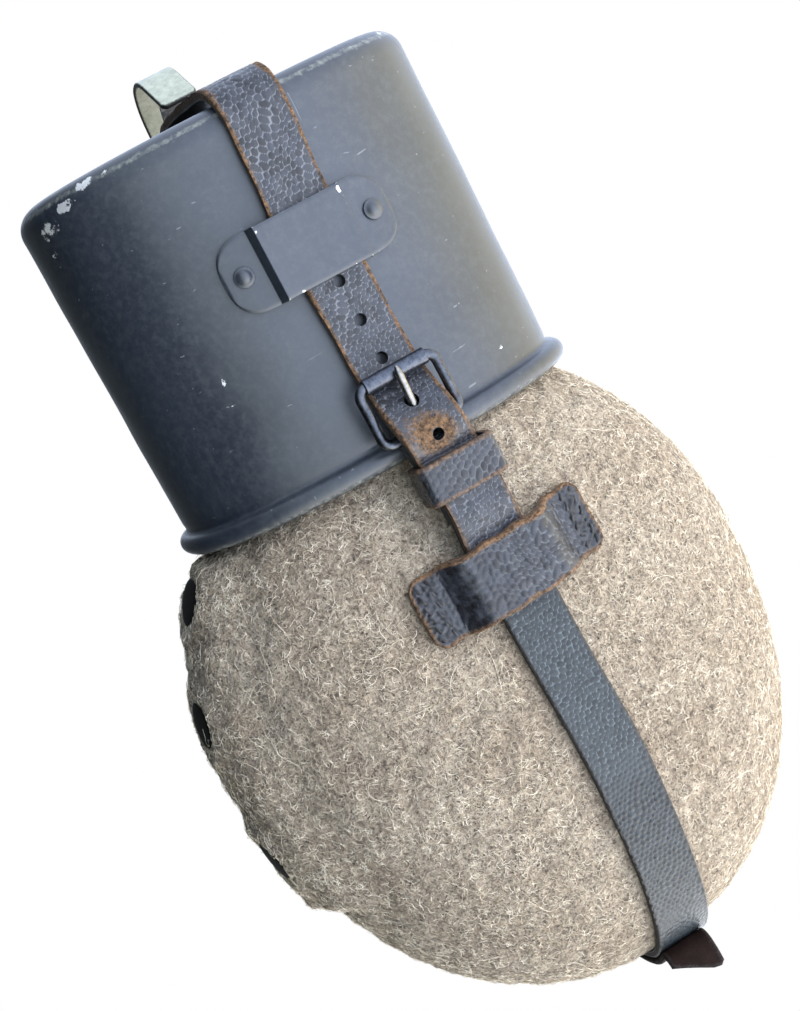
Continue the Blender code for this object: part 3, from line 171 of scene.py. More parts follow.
def slab(outer, inner, closed=False, walls=3, fields=None):
    """Points, faces and fields of a closed piece between an outer and an inner grid of points. A closed
    grid joins its last column to its first. fields gives each attribute's (outer, inner, wall) values."""
    rows, columns = outer.shape[:2]
    count = rows * columns
    flat_outer, flat_inner = outer.reshape(-1, 3), inner.reshape(-1, 3)
    index = np.arange(count).reshape(rows, columns)
    faces = [grid_faces(index, closed), grid_faces(index + count, closed)[:, ::-1]]
    points = [flat_outer, flat_inner]
    borders = [index[0], index[-1][::-1]]
    if not closed:
        borders = [np.concatenate([index[0, :-1], index[:-1, -1], index[-1, :0:-1], index[:0:-1, 0]])]
    total = 2 * count
    for border in borders:
        loops = [border]
        for k in range(1, walls):
            share = k / walls
            points.append(flat_outer[border] * (1 - share) + flat_inner[border] * share)
            loops.append(np.arange(len(border)) + total)
            total += len(border)
        loops.append(border + count)
        for a, b in zip(loops, loops[1:]):
            faces.append(np.stack([np.roll(a, -1), a, b, np.roll(b, -1)], -1))
    points, faces = np.concatenate(points), np.concatenate(faces)
    made = {}
    for key, (on_outer, on_inner, on_wall) in (fields or {}).items():
        values = np.full(total, float(on_wall))
        values[:count] = np.broadcast_to(on_outer, (rows, columns)).ravel()
        values[count : 2 * count] = np.broadcast_to(on_inner, (rows, columns)).ravel()
        made[key] = values
    return points, facing_out(points, faces).tolist(), made


def rings_mesh(rings, looped=False):
    """Points and faces of a closed solid from rings of points: capped at both ends, or looped."""
    rings = np.asarray(rings, dtype=float)
    count, around = rings.shape[:2]
    index = np.arange(count * around).reshape(count, around)
    if looped:
        index = np.vstack([index, index[:1]])
    points = rings.reshape(-1, 3)
    quads = grid_faces(index, True)
    turned_faces = facing_out(points, quads)
    flipped = not np.array_equal(turned_faces, quads)
    faces = turned_faces.tolist()
    if not looped:
        first, last = index[0].tolist(), index[-1][::-1].tolist()
        # grid_faces runs each quad along its ring first, so the caps run against that
        caps = [first[::-1], last[::-1]]
        faces += [cap[::-1] for cap in caps] if flipped else caps
    return points, faces


def joined(parts):
    """The points and faces of several meshes as one."""
    points, faces, start = [], [], 0
    for spots, loops in parts:
        points.append(np.asarray(spots))
        faces += [[i + start for i in loop] for loop in loops]
        start += len(spots)
    return np.concatenate(points), faces


def frame_on(way):
    along = np.asarray(way, dtype=float) / np.linalg.norm(way)
    side = np.cross(along, (0, 0, 1))
    side = np.array((1.0, 0, 0)) if np.linalg.norm(side) < 0.01 else side / np.linalg.norm(side)
    return along, side, np.cross(side, along)


def turned(profile, place, way, segments=48):
    """A turned solid's points and faces: profile is (radius, distance) from end to end, both on the axis."""
    along, side, up = frame_on(way)
    turns = np.linspace(0, 2 * math.pi, segments, endpoint=False)
    circle = np.cos(turns)[:, None] * side + np.sin(turns)[:, None] * up
    return rings_mesh([np.asarray(place) + along * d + circle * max(r, 0.02) for r, d in profile])


def tube(profile, place, segments=48):
    """A tube along X whose (distance along X, radius) profile joins into a loop."""
    turns = np.linspace(0, 2 * math.pi, segments, endpoint=False)
    rings = []
    for d, r in profile:
        ring = np.stack([np.full(segments, float(d)), r * np.cos(turns), r * np.sin(turns)], -1)
        rings.append(ring + np.asarray(place))
    return rings_mesh(rings, looped=True)


def wire(points, radius, sides=20, closed=True):
    """A round wire along a line of points, closed into a loop or with capped ends."""
    spots = np.asarray(points, dtype=float)
    turns = np.linspace(0, 2 * math.pi, sides, endpoint=False)
    side, rings = None, []
    for i, spot in enumerate(spots):
        ahead = spots[(i + 1) % len(spots)] if closed else spots[min(i + 1, len(spots) - 1)]
        along = ahead - (spots[i - 1] if closed or i else spots[0])
        along /= np.linalg.norm(along)
        side = frame_on(along)[1] if side is None else side - along * np.dot(side, along)
        side /= np.linalg.norm(side)
        up = np.cross(along, side)
        size = radius[i] if hasattr(radius, "__len__") else radius
        rings.append(spot + (np.cos(turns)[:, None] * side + np.sin(turns)[:, None] * up) * size)
    return rings_mesh(rings, looped=closed)


def strands(lines, radius, taper=0.35):
    """Many thin three-sided hairs in one mesh, from an array of lines of points."""
    count, length = lines.shape[:2]
    along = np.gradient(lines, axis=1)
    along /= np.linalg.norm(along, axis=2, keepdims=True) + 1e-9
    side = np.cross(along, np.array((0.31, 0.52, 0.79)))
    side /= np.linalg.norm(side, axis=2, keepdims=True) + 1e-9
    up = np.cross(along, side)
    shares = np.linspace(-1, 1, length)
    size = (radius * (1 - (1 - taper) * np.abs(shares) ** 3))[None, :, None]
    rings = [lines + (side * math.cos(t) + up * math.sin(t)) * size for t in (0, 2.094, 4.189)]
    points = np.stack(rings, 2).reshape(-1, 3)
    index = np.arange(count * length * 3).reshape(count, length, 3)
    around = np.concatenate([index, index[:, :, :1]], 2)
    quads = [around[:, :-1, :-1], around[:, 1:, :-1], around[:, 1:, 1:], around[:, :-1, 1:]]
    faces = np.stack(quads, -1).reshape(-1, 4).tolist()
    faces += index[:, 0].tolist() + index[:, -1, ::-1].tolist()
    return points, faces


def resampled(points, spacing, smooth=True):
    """The line through (y, z) points at this spacing, which is a number or a function of the point."""
    spots = np.asarray(points, dtype=float)
    if smooth:
        padded = np.vstack([2 * spots[0] - spots[1], spots, 2 * spots[-1] - spots[-2]])
        t = np.linspace(0, 1, 24, endpoint=False)[:, None]
        parts = []
        for a, b, c, d in zip(padded, padded[1:], padded[2:], padded[3:]):
            bend = (a * 2 - b * 5 + c * 4 - d) * t**2 + (b * 3 - a - c * 3 + d) * t**3
            parts.append((b * 2 + (c - a) * t + bend) / 2)
        spots = np.vstack([*parts, spots[-1:]])
    lengths = np.linalg.norm(np.diff(spots, axis=0), axis=1)
    sizes = np.array([spacing(p) if callable(spacing) else spacing for p in spots[1:]])
    count = np.concatenate([[0], np.cumsum(lengths / sizes)])
    stations = np.linspace(0, count[-1], int(count[-1]) + 2)
    return np.stack([np.interp(stations, count, spots[:, k]) for k in range(spots.shape[1])], -1)


def strip(line, half, ply, middle, columns):
    """A flat strip's grids along a (y, z) line: outer and inner points, the way out, and each point's
    millimetres across and along. half is a number or one per row, and middle the middle x per row."""
    along = np.gradient(line, axis=0)
    along /= np.linalg.norm(along, axis=1, keepdims=True)
    out = np.stack([along[:, 1], -along[:, 0]], -1)
    half = np.broadcast_to(half, (len(line),))
    share = np.linspace(-1, 1, columns)
    across = half[:, None] * share[None, :]
    length = length_along(line)
    run = np.broadcast_to(length[:, None], across.shape)
    ways = np.zeros((*across.shape, 3))
    ways[..., 1], ways[..., 2] = out[:, :1], out[:, 1:]
    core = np.empty((*across.shape, 3))
    core[..., 0] = middle[:, None] + across
    core[..., 1], core[..., 2] = line[:, :1], line[:, 1:]
    return core + ways * ply / 2, core - ways * ply / 2, ways, across, run


# ---------------------------------------------------------------- surfaces


def half_width(z, inset=0.0):
    above = z > WIDEST_Z
    share = (z - WIDEST_Z) / (np.where(above, BODY_TOP - WIDEST_Z, WIDEST_Z) - inset)
    return (BODY_HALF_WIDTH - inset) * np.where(above, oval(share, 2.0), oval(share, 2.15))


def half_depth(z, greatest, inset=0.0):
    above = z > DEEPEST_Z
    share = (z - DEEPEST_Z) / (np.where(above, BODY_TOP - DEEPEST_Z, DEEPEST_Z) - inset)
    return (greatest - inset) * np.where(above, oval(share, 2.8), oval(share, 2.5))


def lean(z):
    return BODY_LEAN * np.maximum(0.0, 1 - z / CUP_RIM_Z)


def body_point(angle, z, inset=0.0):
    turn = np.radians(angle)
    across, back = np.cos(turn), np.sin(turn)
    greatest = np.where(back > 0, FRONT_DEPTH, REAR_DEPTH)
    x = half_width(z, inset) * np.sign(across) * np.abs(across) ** (2 / SQUARENESS)
    y = -half_depth(z, greatest, inset) * np.sign(back) * np.abs(back) ** (2 / SQUARENESS)
    return np.stack(np.broadcast_arrays(x + lean(z), y, z), -1)


def depth_at(x, z, greatest):
    return half_depth(z, greatest) * oval((x - lean(z)) / np.maximum(half_width(z), 1e-6), SQUARENESS)


def felt_underside(x, y):
    greatest = np.where(y < 0, FRONT_DEPTH, REAR_DEPTH)
    low, high = np.zeros(np.shape(x)), np.full(np.shape(x), WIDEST_Z)
    for _ in range(30):
        z = (low + high) / 2
        inside = depth_at(x, z, greatest) > np.abs(y)
        low, high = np.where(inside, low, z), np.where(inside, z, high)
    return high


def flap_zone(z):
    return step((z - FLAP_LOW - 1) / 3.4) * step((FLAP_HIGH - z) / 3.5)


def flap_swell(angle, z):
    return FLAP_SWELL * step((angle - 146) / 18) * flap_zone(z)


def flap_angle(z):
    return 180 + FLAP_REACH * step((z - FLAP_LOW - 9) / 12) * step((FLAP_HIGH - 3.5 - z) / 12)


def tuck_angle(z):
    return 180 - TUCK_REACH * step((z - FLAP_LOW - 9) / 8) * step((FLAP_HIGH - 3.5 - z) / 8)


def flap_place(z):
    """The outside of the swollen flap at a snap fastener's height, and the way out from it."""
    swell = FLAP_SWELL * flap_zone(z)
    here, above, below = (body_point(SNAP_ANGLE, z + d, -swell) for d in (0.0, 1.0, -1.0))
    out = np.cross((0, -1, 0), above - below)
    out = (out if out[0] < 0 else -out) / np.linalg.norm(out) + np.array((0, -SNAP_TURN, 0))
    return here, out / np.linalg.norm(out)


def cup_size(z):
    share = (z - CUP_RIM_Z) / (CUP_TOP_Z - CUP_RIM_Z)
    return 52.2 + 1.2 * share, CUP_FRONT - 0.4 + 0.4 * share, CUP_REAR - 0.4 + 0.4 * share


def cup_point(turn, z, out=0.0, scale=1.0):
    wide, front, rear = cup_size(z)
    across, back = np.cos(turn), np.sin(turn)
    x = (wide + out) * scale * np.sign(across) * np.abs(across) ** (2 / SQUARENESS)
    y = (np.where(back > 0, rear, front) + out) * scale * np.sign(back) * np.abs(back) ** (2 / SQUARENESS)
    return np.stack(np.broadcast_arrays(x, y, z), -1)


def cup_depth(x, z, rear=False):
    wide, front, back = cup_size(z)
    return (back if rear else front) * oval(x / wide, SQUARENESS)


def strap_x(z):
    return keyed(STRAP_KEYS, z)


def front_middle(line):
    """The straps' middle x along a (y, z) line: down the front, under the bottom and up the rear."""
    y, z = line[:, 0], line[:, 1]
    share = np.where(y < 30, step((y + 5) / 30), 1.0)
    bottom = strap_x(np.zeros(len(y))) * (1 - share) + (REAR_X + 2.5) * share
    made = bottom + (REAR_X - bottom) * step((z - 10) / 140)
    over = step((y + 28) / 56)
    made = np.where(z > 230, strap_x(z) * (1 - over) + REAR_X * over, made)
    return np.where(y < -5, strap_x(z), made)


def felt_front_y(z, middle):
    return max(float(depth_at(middle + x, np.float64(z), FRONT_DEPTH)) for x in (-8, -4, 0, 4, 8))


def felt_support():
    """The felt's outline under the strap: down the front, under the bottom and up the rear."""
    front = (124, 117, 110, 102, 94, 86, 78, 70, 62, 54, 46, 39, 32, 26, 20, 15, 11, 8, 5.5)
    points = [(-felt_front_y(z, strap_x(z)), z) for z in front]
    for y in (-20, -16, -11, -5, 2, 8, 12, 14.5):
        middle = front_middle(np.array([(y, 0.0)]))[0]
        reach = np.array((middle - 8, middle - 3, middle + 3, middle + 8))
        points.append((y, float(felt_underside(reach, np.float64(y)).min())))
    for z in (5.5, 8, 11, 15, 20, 26, 33, 42, 53, 66, 80, 94, 108, 120, 132, 141):
        reach = REAR_X + 1 + np.array((-8, 0, 8))
        points.append((float(depth_at(reach, np.float64(z), REAR_DEPTH).max()), z))
    return np.array(points, dtype=float)


def offset_line(points, distance):
    along = np.vstack([points[1:], points[-1:]]) - np.vstack([points[:1], points[:-1]])
    along /= np.linalg.norm(along, axis=1, keepdims=True)
    return points + np.stack([along[:, 1], -along[:, 0]], -1) * distance


def buckle_strap_line():
    line = [(-INNER_PLY_Y, z) for z in (132.0, 138.0, 144.0, 150.0, HEEL_Z)]
    arc = [math.pi * i / 8 for i in range(1, 8)]
    line += [(-BAR_Y + WRAP * math.cos(t), HEEL_Z + WRAP * math.sin(t)) for t in arc]
    line += [(-BAR_Y - WRAP, HEEL_Z), (-BAR_Y - WRAP, 154.0), (-OUTER_PLY_Y - 1.6, 151.6)]
    line += [(-OUTER_PLY_Y, z) for z in (149.0, 142.0, 136.0, 131.0)]
    line += offset_line(felt_support(), GAP + 0.15 + BUCKLE_PLY / 2).tolist()
    line += [(REAR_STRAP_Y - 0.6, 149.0), (REAR_STRAP_Y, 156.0)]
    return line + [(REAR_STRAP_Y, z) for z in (165.0, 175.0, 185.0, 195.0, 204.0)]


def tongue_line():
    line = [(REAR_TONGUE_Y, z) for z in (168.0, 178.0, 190.0, 204.0, 218.0)] + list(ARCH_LINE)
    line += [(-TONGUE_ON_CUP, z) for z in (228.0, 218.0, 206.0, 194.0, 184.0, 179.0)]
    line += [(-TONGUE_ON_CUP - 0.2, 175.0), (-41.8, 171.8), (-42.9, 168.4), (-45.2, 164.8), (-48.2, 161.4)]
    line += [(-51.0, 158.2), (-TONGUE_OVER_WRAP - 0.2, 155.0), (-TONGUE_OVER_WRAP + 0.3, 152.4)]
    line += [(-TONGUE_Y - 0.9, 150.0)] + [(-TONGUE_Y, z) for z in (148.2, 142.0, 136.0, 131.5)]
    over = (BUCKLE_PLY + TONGUE_PLY) / 2 + GAP * 2 + 0.15 + BUCKLE_PLY / 2
    for z in (124.0, 119.0, 114.5, 112.0, 110.0, 108.5, 107.5, 107.0):
        line.append((-felt_front_y(z, strap_x(z)) - over, z))
    return line


def front_y_on(line, z):
    """A front line's y at a height, and the way square to it there."""
    front = [np.array(p) for p in line if p[0] < -30]
    for first, second in zip(front, front[1:]):
        if first[1] >= z >= second[1]:
            along = second - first
            share = (first[1] - z) / (first[1] - second[1])
            return first[0] + along[0] * share, np.array((0, along[1], -along[0])) / np.linalg.norm(along)
    return front[-1][0], np.array((0, -1.0, 0))


# ---------------------------------------------------------------- materials


def node(tree, kind, inputs=None, **settings):
    made = tree.nodes.new("ShaderNode" + kind)
    for key, value in settings.items():
        setattr(made, key, value)
    for key, value in (inputs or {}).items():
        if isinstance(value, bpy.types.NodeSocket):
            tree.links.new(value, made.inputs[key])
        else:
            made.inputs[key].default_value = value
    return made


def calc(tree, operation, a, b=0.5, clamp=False):
    return node(tree, "Math", {0: a, 1: b}, operation=operation, use_clamp=clamp).outputs[0]


def vector(tree, operation, a, b):
    return node(tree, "VectorMath", {0: a, 1: b}, operation=operation).outputs[0]


def field(tree, name):
    return node(tree, "Attribute", attribute_name=name).outputs["Fac"]


def ramp(tree, value, *stops):
    """A value or colour that changes along a value: stops are (position, number or colour)."""
    made = node(tree, "ValToRGB", {"Fac": value})
    elements = made.color_ramp.elements
    while len(elements) < len(stops):
        elements.new(0.5)
    for element, (place, colour) in zip(elements, stops):
        element.position = place
        element.color = (*colour, 1.0) if hasattr(colour, "__len__") else (colour, colour, colour, 1.0)
    return made.outputs["Color"]


def mixed(tree, share, first, second):
    made = node(tree, "Mix", data_type="RGBA")
    for key, value in (("Factor_Float", share), ("A_Color", first), ("B_Color", second)):
        socket = next(s for s in made.inputs if s.identifier == key)
        if isinstance(value, bpy.types.NodeSocket):
            tree.links.new(value, socket)
        elif hasattr(value, "__len__"):
            socket.default_value = (*value, 1.0)
        else:
            socket.default_value = value
    return next(s for s in made.outputs if s.identifier == "Result_Color")


def place_of(tree, stretch=(1.0, 1.0, 1.0), turn=(0.0, 0.0, 0.0)):
    """The piece's own coordinates in millimetres, turned and stretched."""
    spot = node(tree, "TexCoord").outputs["Object"]
    scale = [1000.0 * s for s in stretch]
    return node(tree, "Mapping", {"Vector": spot, "Rotation": turn, "Scale": scale}).outputs[0]


def noise(tree, place, scale, detail=2.0, rough=0.5, output=0):
    inputs = {"Vector": place, "Scale": scale, "Detail": detail, "Roughness": rough}
    return node(tree, "TexNoise", inputs).outputs[output]


def bumped(tree, height, distance, strength=1.0, before=None):
    inputs = {"Height": height, "Distance": distance * 0.001, "Strength": strength}
    if before:
        inputs["Normal"] = before
    return node(tree, "Bump", inputs).outputs[0]


def new_look(name):
    made = bpy.data.materials.new(name)
    made.use_nodes = True
    tree = made.node_tree
    tree.nodes.clear()
    shader = node(tree, "BsdfPrincipled")
    output = node(tree, "OutputMaterial", {"Surface": shader.outputs[0]})
    output.location = (300, 0)
    return made, tree, shader


def wear_in(tree, shader, key, value):
    if isinstance(value, bpy.types.NodeSocket):
        tree.links.new(value, shader.inputs[key])
    elif hasattr(value, "__len__"):
        shader.inputs[key].default_value = (*value, 1.0)
    else:
        shader.inputs[key].default_value = value


def dress(tree, shader, **values):
    names = {"colour": "Base Color", "rough": "Roughness", "metal": "Metallic", "normal": "Normal"}
    names |= {"sheen": "Sheen Weight", "sheen_rough": "Sheen Roughness", "coat": "Coat Weight"}
    names |= {"coat_rough": "Coat Roughness", "specular": "Specular IOR Level"}
    for key, value in values.items():
        wear_in(tree, shader, names[key], value)


def felt_look():
    """Matted wool: dark mottled ground under several tangled layers of pale hairs."""
    made, tree, shader = new_look("felt")
    place = place_of(tree)
    drift = vector(tree, "MULTIPLY", noise(tree, place, 0.3, 2.0, output=1), (7.0, 7.0, 7.0))
    bent = vector(tree, "ADD", place, drift)
    total = 0.0
    for scale, width, shift in ((0.42, 0.05, 0.0), (0.6, 0.07, 31.0), (0.8, 0.09, 67.0), (1.1, 0.12, 113.0)):
        moved = vector(tree, "ADD", bent, (shift, shift * 0.7, -shift))
        off = calc(tree, "ABSOLUTE", calc(tree, "SUBTRACT", noise(tree, moved, scale, 1.0, 0.4), 0.5))
        line = ramp(tree, calc(tree, "DIVIDE", off, width), (0.0, 1.0), (0.5, 0.4), (1.0, 0.0))
        total = calc(tree, "MAXIMUM", total, line)
    broken = ramp(tree, noise(tree, place, 0.4, 2.0, 0.6), (0.36, 0.15), (0.58, 1.0))
    total = calc(tree, "MULTIPLY", total, broken)
    speck = noise(tree, place, 1.1, 5.0, 0.8)
    patch = noise(tree, place, 0.28, 4.0, 0.75)
    blotch = noise(tree, place, 0.045, 3.0, 0.6)
    dark, middle, light = (0.045, 0.033, 0.025), (0.13, 0.1, 0.075), (0.27, 0.22, 0.17)
    ground = ramp(tree, patch, (0.38, dark), (0.5, middle), (0.64, light))
    ground = mixed(tree, ramp(tree, speck, (0.46, 0.0), (0.62, 0.9)), ground, (0.42, 0.34, 0.255))
    ground = mixed(tree, ramp(tree, speck, (0.34, 0.9), (0.46, 0.0)), ground, (0.035, 0.026, 0.02))
    tint = ramp(tree, blotch, (0.38, (0.54, 0.44, 0.33)), (0.62, (0.74, 0.64, 0.51)))
    colour = mixed(tree, calc(tree, "MULTIPLY", total, 0.85), ground, tint)
    height = calc(tree, "ADD", calc(tree, "MULTIPLY", total, 0.7), speck)
    normal = bumped(tree, patch, 1.5, 0.7, bumped(tree, height, 0.7, 1.0))
    dress(tree, shader, colour=colour, rough=1.0, normal=normal, sheen=0.1, sheen_rough=0.6, specular=0.1)
    return made


def fibre_look(name, first, second):
    made, tree, shader = new_look(name)
    colour = ramp(tree, noise(tree, place_of(tree), 0.5, 1.0), (0.35, first), (0.65, second))
    dress(tree, shader, colour=colour, rough=0.8, specular=0.3)
    return made


def leather_look(name, low, high, outline, edge, shine=0.35, specular=0.55):
    """Grained leather, with painted shade in its creases and in small dark spots. The fields it reads:
    grain, from 0 in the creases; tone, each cell's own; rim, millimetres from the border and below 0 on the
    cut edge; wear and gloss, 0 to 1; pale, how light the creases are, from painted crease shade at 0 to a
    dusty pale outline at 1; fray, how far the bare border shows."""
    made, tree, shader = new_look(name)
    place = place_of(tree)
    grain, tone, rim = field(tree, "grain"), field(tree, "tone"), field(tree, "rim")
    wear, gloss, pale = field(tree, "wear"), field(tree, "gloss"), field(tree, "pale")
    fine = noise(tree, place, 1.6, 4.0, 0.7)
    broad = noise(tree, place, 0.22, 3.0, 0.6)
    mottle = calc(tree, "ADD", calc(tree, "MULTIPLY", tone, 0.45), calc(tree, "MULTIPLY", broad, 0.6))
    colour = ramp(tree, mottle, (0.25, low), (0.8, high))
    rough_grain = calc(tree, "ADD", grain, calc(tree, "MULTIPLY", fine, 0.25))
    crease = ramp(tree, rough_grain, (0.24, 1.0), (0.42, 0.0))
    # dark is painted shade: creases take it where pale is low, and the dusty pale outline where pale is
    # high.
    dark = tuple(0.3 * c for c in low)
    colour = mixed(tree, crease, colour, mixed(tree, pale, dark, outline))
    # Small dark spots next: painted shadow in the grain's hollows.
    pit_shadow_spots = ramp(tree, noise(tree, place, 0.9, 2.0, 0.5), (0.66, 0.0), (0.72, 1.0))
    colour = mixed(tree, calc(tree, "MULTIPLY", pit_shadow_spots, 0.7), colour, dark)
    ragged = calc(tree, "ADD", rim, calc(tree, "MULTIPLY", calc(tree, "SUBTRACT", fine, 0.5), 2.2))
    bare = ramp(tree, calc(tree, "SUBTRACT", 1.5, ragged), (0.3, 0.0), (0.8, 1.0))
    worn = ramp(tree, calc(tree, "ADD", calc(tree, "MULTIPLY", fine, 0.8), wear), (0.82, 0.0), (1.05, 1.0))
    burnt, brown = (tuple(share * c for c in edge) for share in (0.12, 0.5))
    tan = ramp(tree, noise(tree, place, 0.9, 5.0, 0.8), (0.4, burnt), (0.5, brown), (0.64, edge))
    share = calc(tree, "MAXIMUM", calc(tree, "MULTIPLY", bare, field(tree, "fray")), worn)
    colour = mixed(tree, share, colour, tan)
    rough = ramp(tree, fine, (0.3, shine), (0.7, shine + 0.22))
    rough = calc(tree, "SUBTRACT", rough, calc(tree, "MULTIPLY", gloss, 0.2))
    rough = calc(tree, "MAXIMUM", rough, calc(tree, "MULTIPLY", share, 0.9))
    height = calc(tree, "ADD", calc(tree, "MULTIPLY", crease, -0.5), fine)
    normal = bumped(tree, height, 0.12, 0.55)
    dress(tree, shader, colour=colour, rough=rough, normal=normal, specular=specular)
    return made


def paint_look(name, base, high, rough, bare, chip_scale=0.55):
    """Satin paint with scratches. Its fields say where bare metal shows, and where it turns pale: worn
    paint, and a painted highlight.
    """
    made, tree, shader = new_look(name)
    place = place_of(tree)
    chips, wear_and_highlight = field(tree, "chips"), field(tree, "wear_and_highlight")
    fine = noise(tree, place, chip_scale, 5.0, 0.75)
    broad = noise(tree, place, 0.03, 3.0, 0.6)
    colour = ramp(tree, broad, (0.3, base), (0.7, high))
    dust = noise(tree, place, 0.5, 6.0, 0.8)
    dusty = calc(tree, "MULTIPLY", ramp(tree, dust, (0.45, 0.0), (0.75, 1.0)), 0.12)
    colour = mixed(tree, dusty, colour, (0.2, 0.22, 0.22))
    lines = None
    for turn, stretch in (((0.3, 0.8, 0.4), (0.9, 0.9, 0.016)), ((1.1, 0.2, 0.9), (0.016, 0.8, 0.9))):
        streak = noise(tree, place_of(tree, stretch, turn), 1.0, 2.0, 0.5)
        line = ramp(tree, streak, (0.735, 0.0), (0.75, 1.0))
        lines = line if lines is None else calc(tree, "MAXIMUM", lines, line)
    colour = mixed(tree, calc(tree, "MULTIPLY", lines, 0.3), colour, (0.3, 0.33, 0.36))
    # Paler olive-grey where the second field is high: worn paint, and a painted highlight band on the cup's
    # top rounding.
    edge = ramp(tree, calc(tree, "ADD", calc(tree, "MULTIPLY", fine, 0.6), wear_and_highlight), (0.72, 0.0), (0.92, 1.0))
    colour = mixed(tree, calc(tree, "MULTIPLY", edge, 0.75), colour, (0.3, 0.32, 0.28))
    chip = ramp(tree, calc(tree, "MULTIPLY", calc(tree, "ADD", fine, chips), 0.5), (0.545, 0.0), (0.56, 1.0))
    colour = mixed(tree, chip, colour, bare)
    shine = ramp(tree, dust, (0.3, rough - 0.05), (0.7, rough + 0.1))
    height = calc(tree, "SUBTRACT", calc(tree, "MULTIPLY", dust, 0.25), chip)
    normal = bumped(tree, height, 0.06, 0.5)
    metal = calc(tree, "MULTIPLY", chip, 0.4)
    dress(tree, shader, colour=colour, rough=shine, metal=metal, normal=normal, specular=0.9)
    return made


def metal_look(name, base, high, rough, metal=1.0, spots=0.0, spot_colour=(0.1, 0.04, 0.02), specular=0.5):
    made, tree, shader = new_look(name)
    place = place_of(tree)
    fine = noise(tree, place, 0.9, 5.0, 0.7)
    colour = ramp(tree, fine, (0.3, base), (0.7, high))
    rust = ramp(tree, noise(tree, place, 0.35, 4.0, 0.7), (0.62, 0.0), (0.74, 1.0))
    share = calc(tree, "MULTIPLY", rust, spots)
    colour = mixed(tree, share, colour, spot_colour)
    shine = ramp(tree, fine, (0.3, rough - 0.08), (0.75, rough + 0.14))
    metal = calc(tree, "MULTIPLY", calc(tree, "SUBTRACT", 1.0, share), metal)
    normal = bumped(tree, noise(tree, place, 2.4, 3.0, 0.6), 0.03, 0.5)
    dress(tree, shader, colour=colour, rough=shine, metal=metal, normal=normal, specular=specular)
    return made


def hook_look():
    """Pale grey-green paint on the strip's faces, and near-black edges painted in from the rim field as
    shade.
    """
    made, tree, shader = new_look("hook_strip")
    place = place_of(tree)
    rim = field(tree, "rim")
    fine = noise(tree, place, 1.3, 5.0, 0.75)
    patch = noise(tree, place, 0.5, 4.0, 0.7)
    pale = ramp(tree, patch, (0.35, (0.3, 0.33, 0.27)), (0.65, (0.44, 0.48, 0.4)))
    speck = ramp(tree, fine, (0.66, 0.0), (0.72, 1.0))
    colour = mixed(tree, speck, pale, (0.1, 0.1, 0.085))
    # Near-black where rim is low: painted shade on the strip's edges.
    edge = ramp(tree, calc(tree, "ADD", rim, calc(tree, "MULTIPLY", fine, 0.8)), (0.55, 1.0), (0.95, 0.0))
    colour = mixed(tree, edge, colour, (0.02, 0.02, 0.018))
    colour = mixed(tree, field(tree, "wear"), colour, (0.1, 0.065, 0.045))
    dress(tree, shader, colour=colour, rough=0.42, normal=bumped(tree, fine, 0.05, 0.5))
    return made


LOOKS = {
    "felt": felt_look(),
    "fuzz": fibre_look("felt_fibre", (0.46, 0.38, 0.28), (0.92, 0.84, 0.7)),
    "tongue": leather_look(
        "tongue_leather", (0.014, 0.014, 0.017), (0.042, 0.047, 0.062),
        (0.15, 0.16, 0.19), (0.2, 0.115, 0.06),
    ),
    "strap": leather_look(
        "buckle_leather", (0.009, 0.012, 0.015), (0.024, 0.031, 0.037),
        (0.095, 0.122, 0.14), (0.05, 0.045, 0.045),
    ),
    "keeper": leather_look(
        "keeper_leather", (0.014, 0.014, 0.017), (0.04, 0.043, 0.055),
        (0.11, 0.12, 0.14), (0.22, 0.125, 0.065),
    ),
    "tab": leather_look(
        "tab_leather", (0.005, 0.002, 0.0015), (0.016, 0.007, 0.005),
        (0.01, 0.005, 0.004), (0.05, 0.045, 0.045), 0.75, 0.2,
    ),
    "cup": paint_look("cup_paint", (0.018, 0.023, 0.034), (0.026, 0.033, 0.047), 0.34, (0.78, 0.79, 0.8)),
    "steel": metal_look("buckle_steel", (0.05, 0.055, 0.065), (0.16, 0.17, 0.2), 0.34, 1.0, 0.5),
    "prong": metal_look("prong_steel", (0.2, 0.19, 0.18), (0.46, 0.44, 0.42), 0.3, 1.0, 0.4),
    "snap": metal_look(
        "snap_paint", (0.003, 0.003, 0.003), (0.014, 0.012, 0.01), 0.5, 0.0, 0.4, (0.02, 0.012, 0.008), 0.12
    ),
    "hook": hook_look(),
    "aluminium": metal_look("flask_aluminium", (0.6, 0.61, 0.62), (0.8, 0.81, 0.82), 0.35),
    "bakelite": metal_look("stopper_bakelite", (0.012, 0.01, 0.009), (0.025, 0.02, 0.018), 0.3, 0.0),
    "rubber": metal_look("seal_rubber", (0.12, 0.035, 0.02), (0.2, 0.07, 0.045), 0.75, 0.0),
    "brass": metal_look("snap_brass", (0.45, 0.33, 0.15), (0.62, 0.48, 0.24), 0.35),
    "wire": metal_look("handle_steel", (0.2, 0.2, 0.21), (0.4, 0.4, 0.42), 0.38, 1.0, 0.3),
    "thread": fibre_look("stitch_thread", (0.02, 0.02, 0.022), (0.07, 0.07, 0.075)),
}


# ---------------------------------------------------------------- felt


def felt_rows(bottom):
    """Heights that keep the panel's rows evenly apart along its curve."""
    low = WIDEST_Z - (WIDEST_Z - bottom) * np.cos(np.linspace(0, math.pi / 2, 135))
    high = WIDEST_Z + (BODY_TOP - WIDEST_Z) * np.sin(np.linspace(0, 1.163, 85))[1:]
    stretch = (FELT_TOP - WIDEST_Z) / (high[-1] - WIDEST_Z)
    return np.concatenate([low, WIDEST_Z + (high - WIDEST_Z) * stretch])


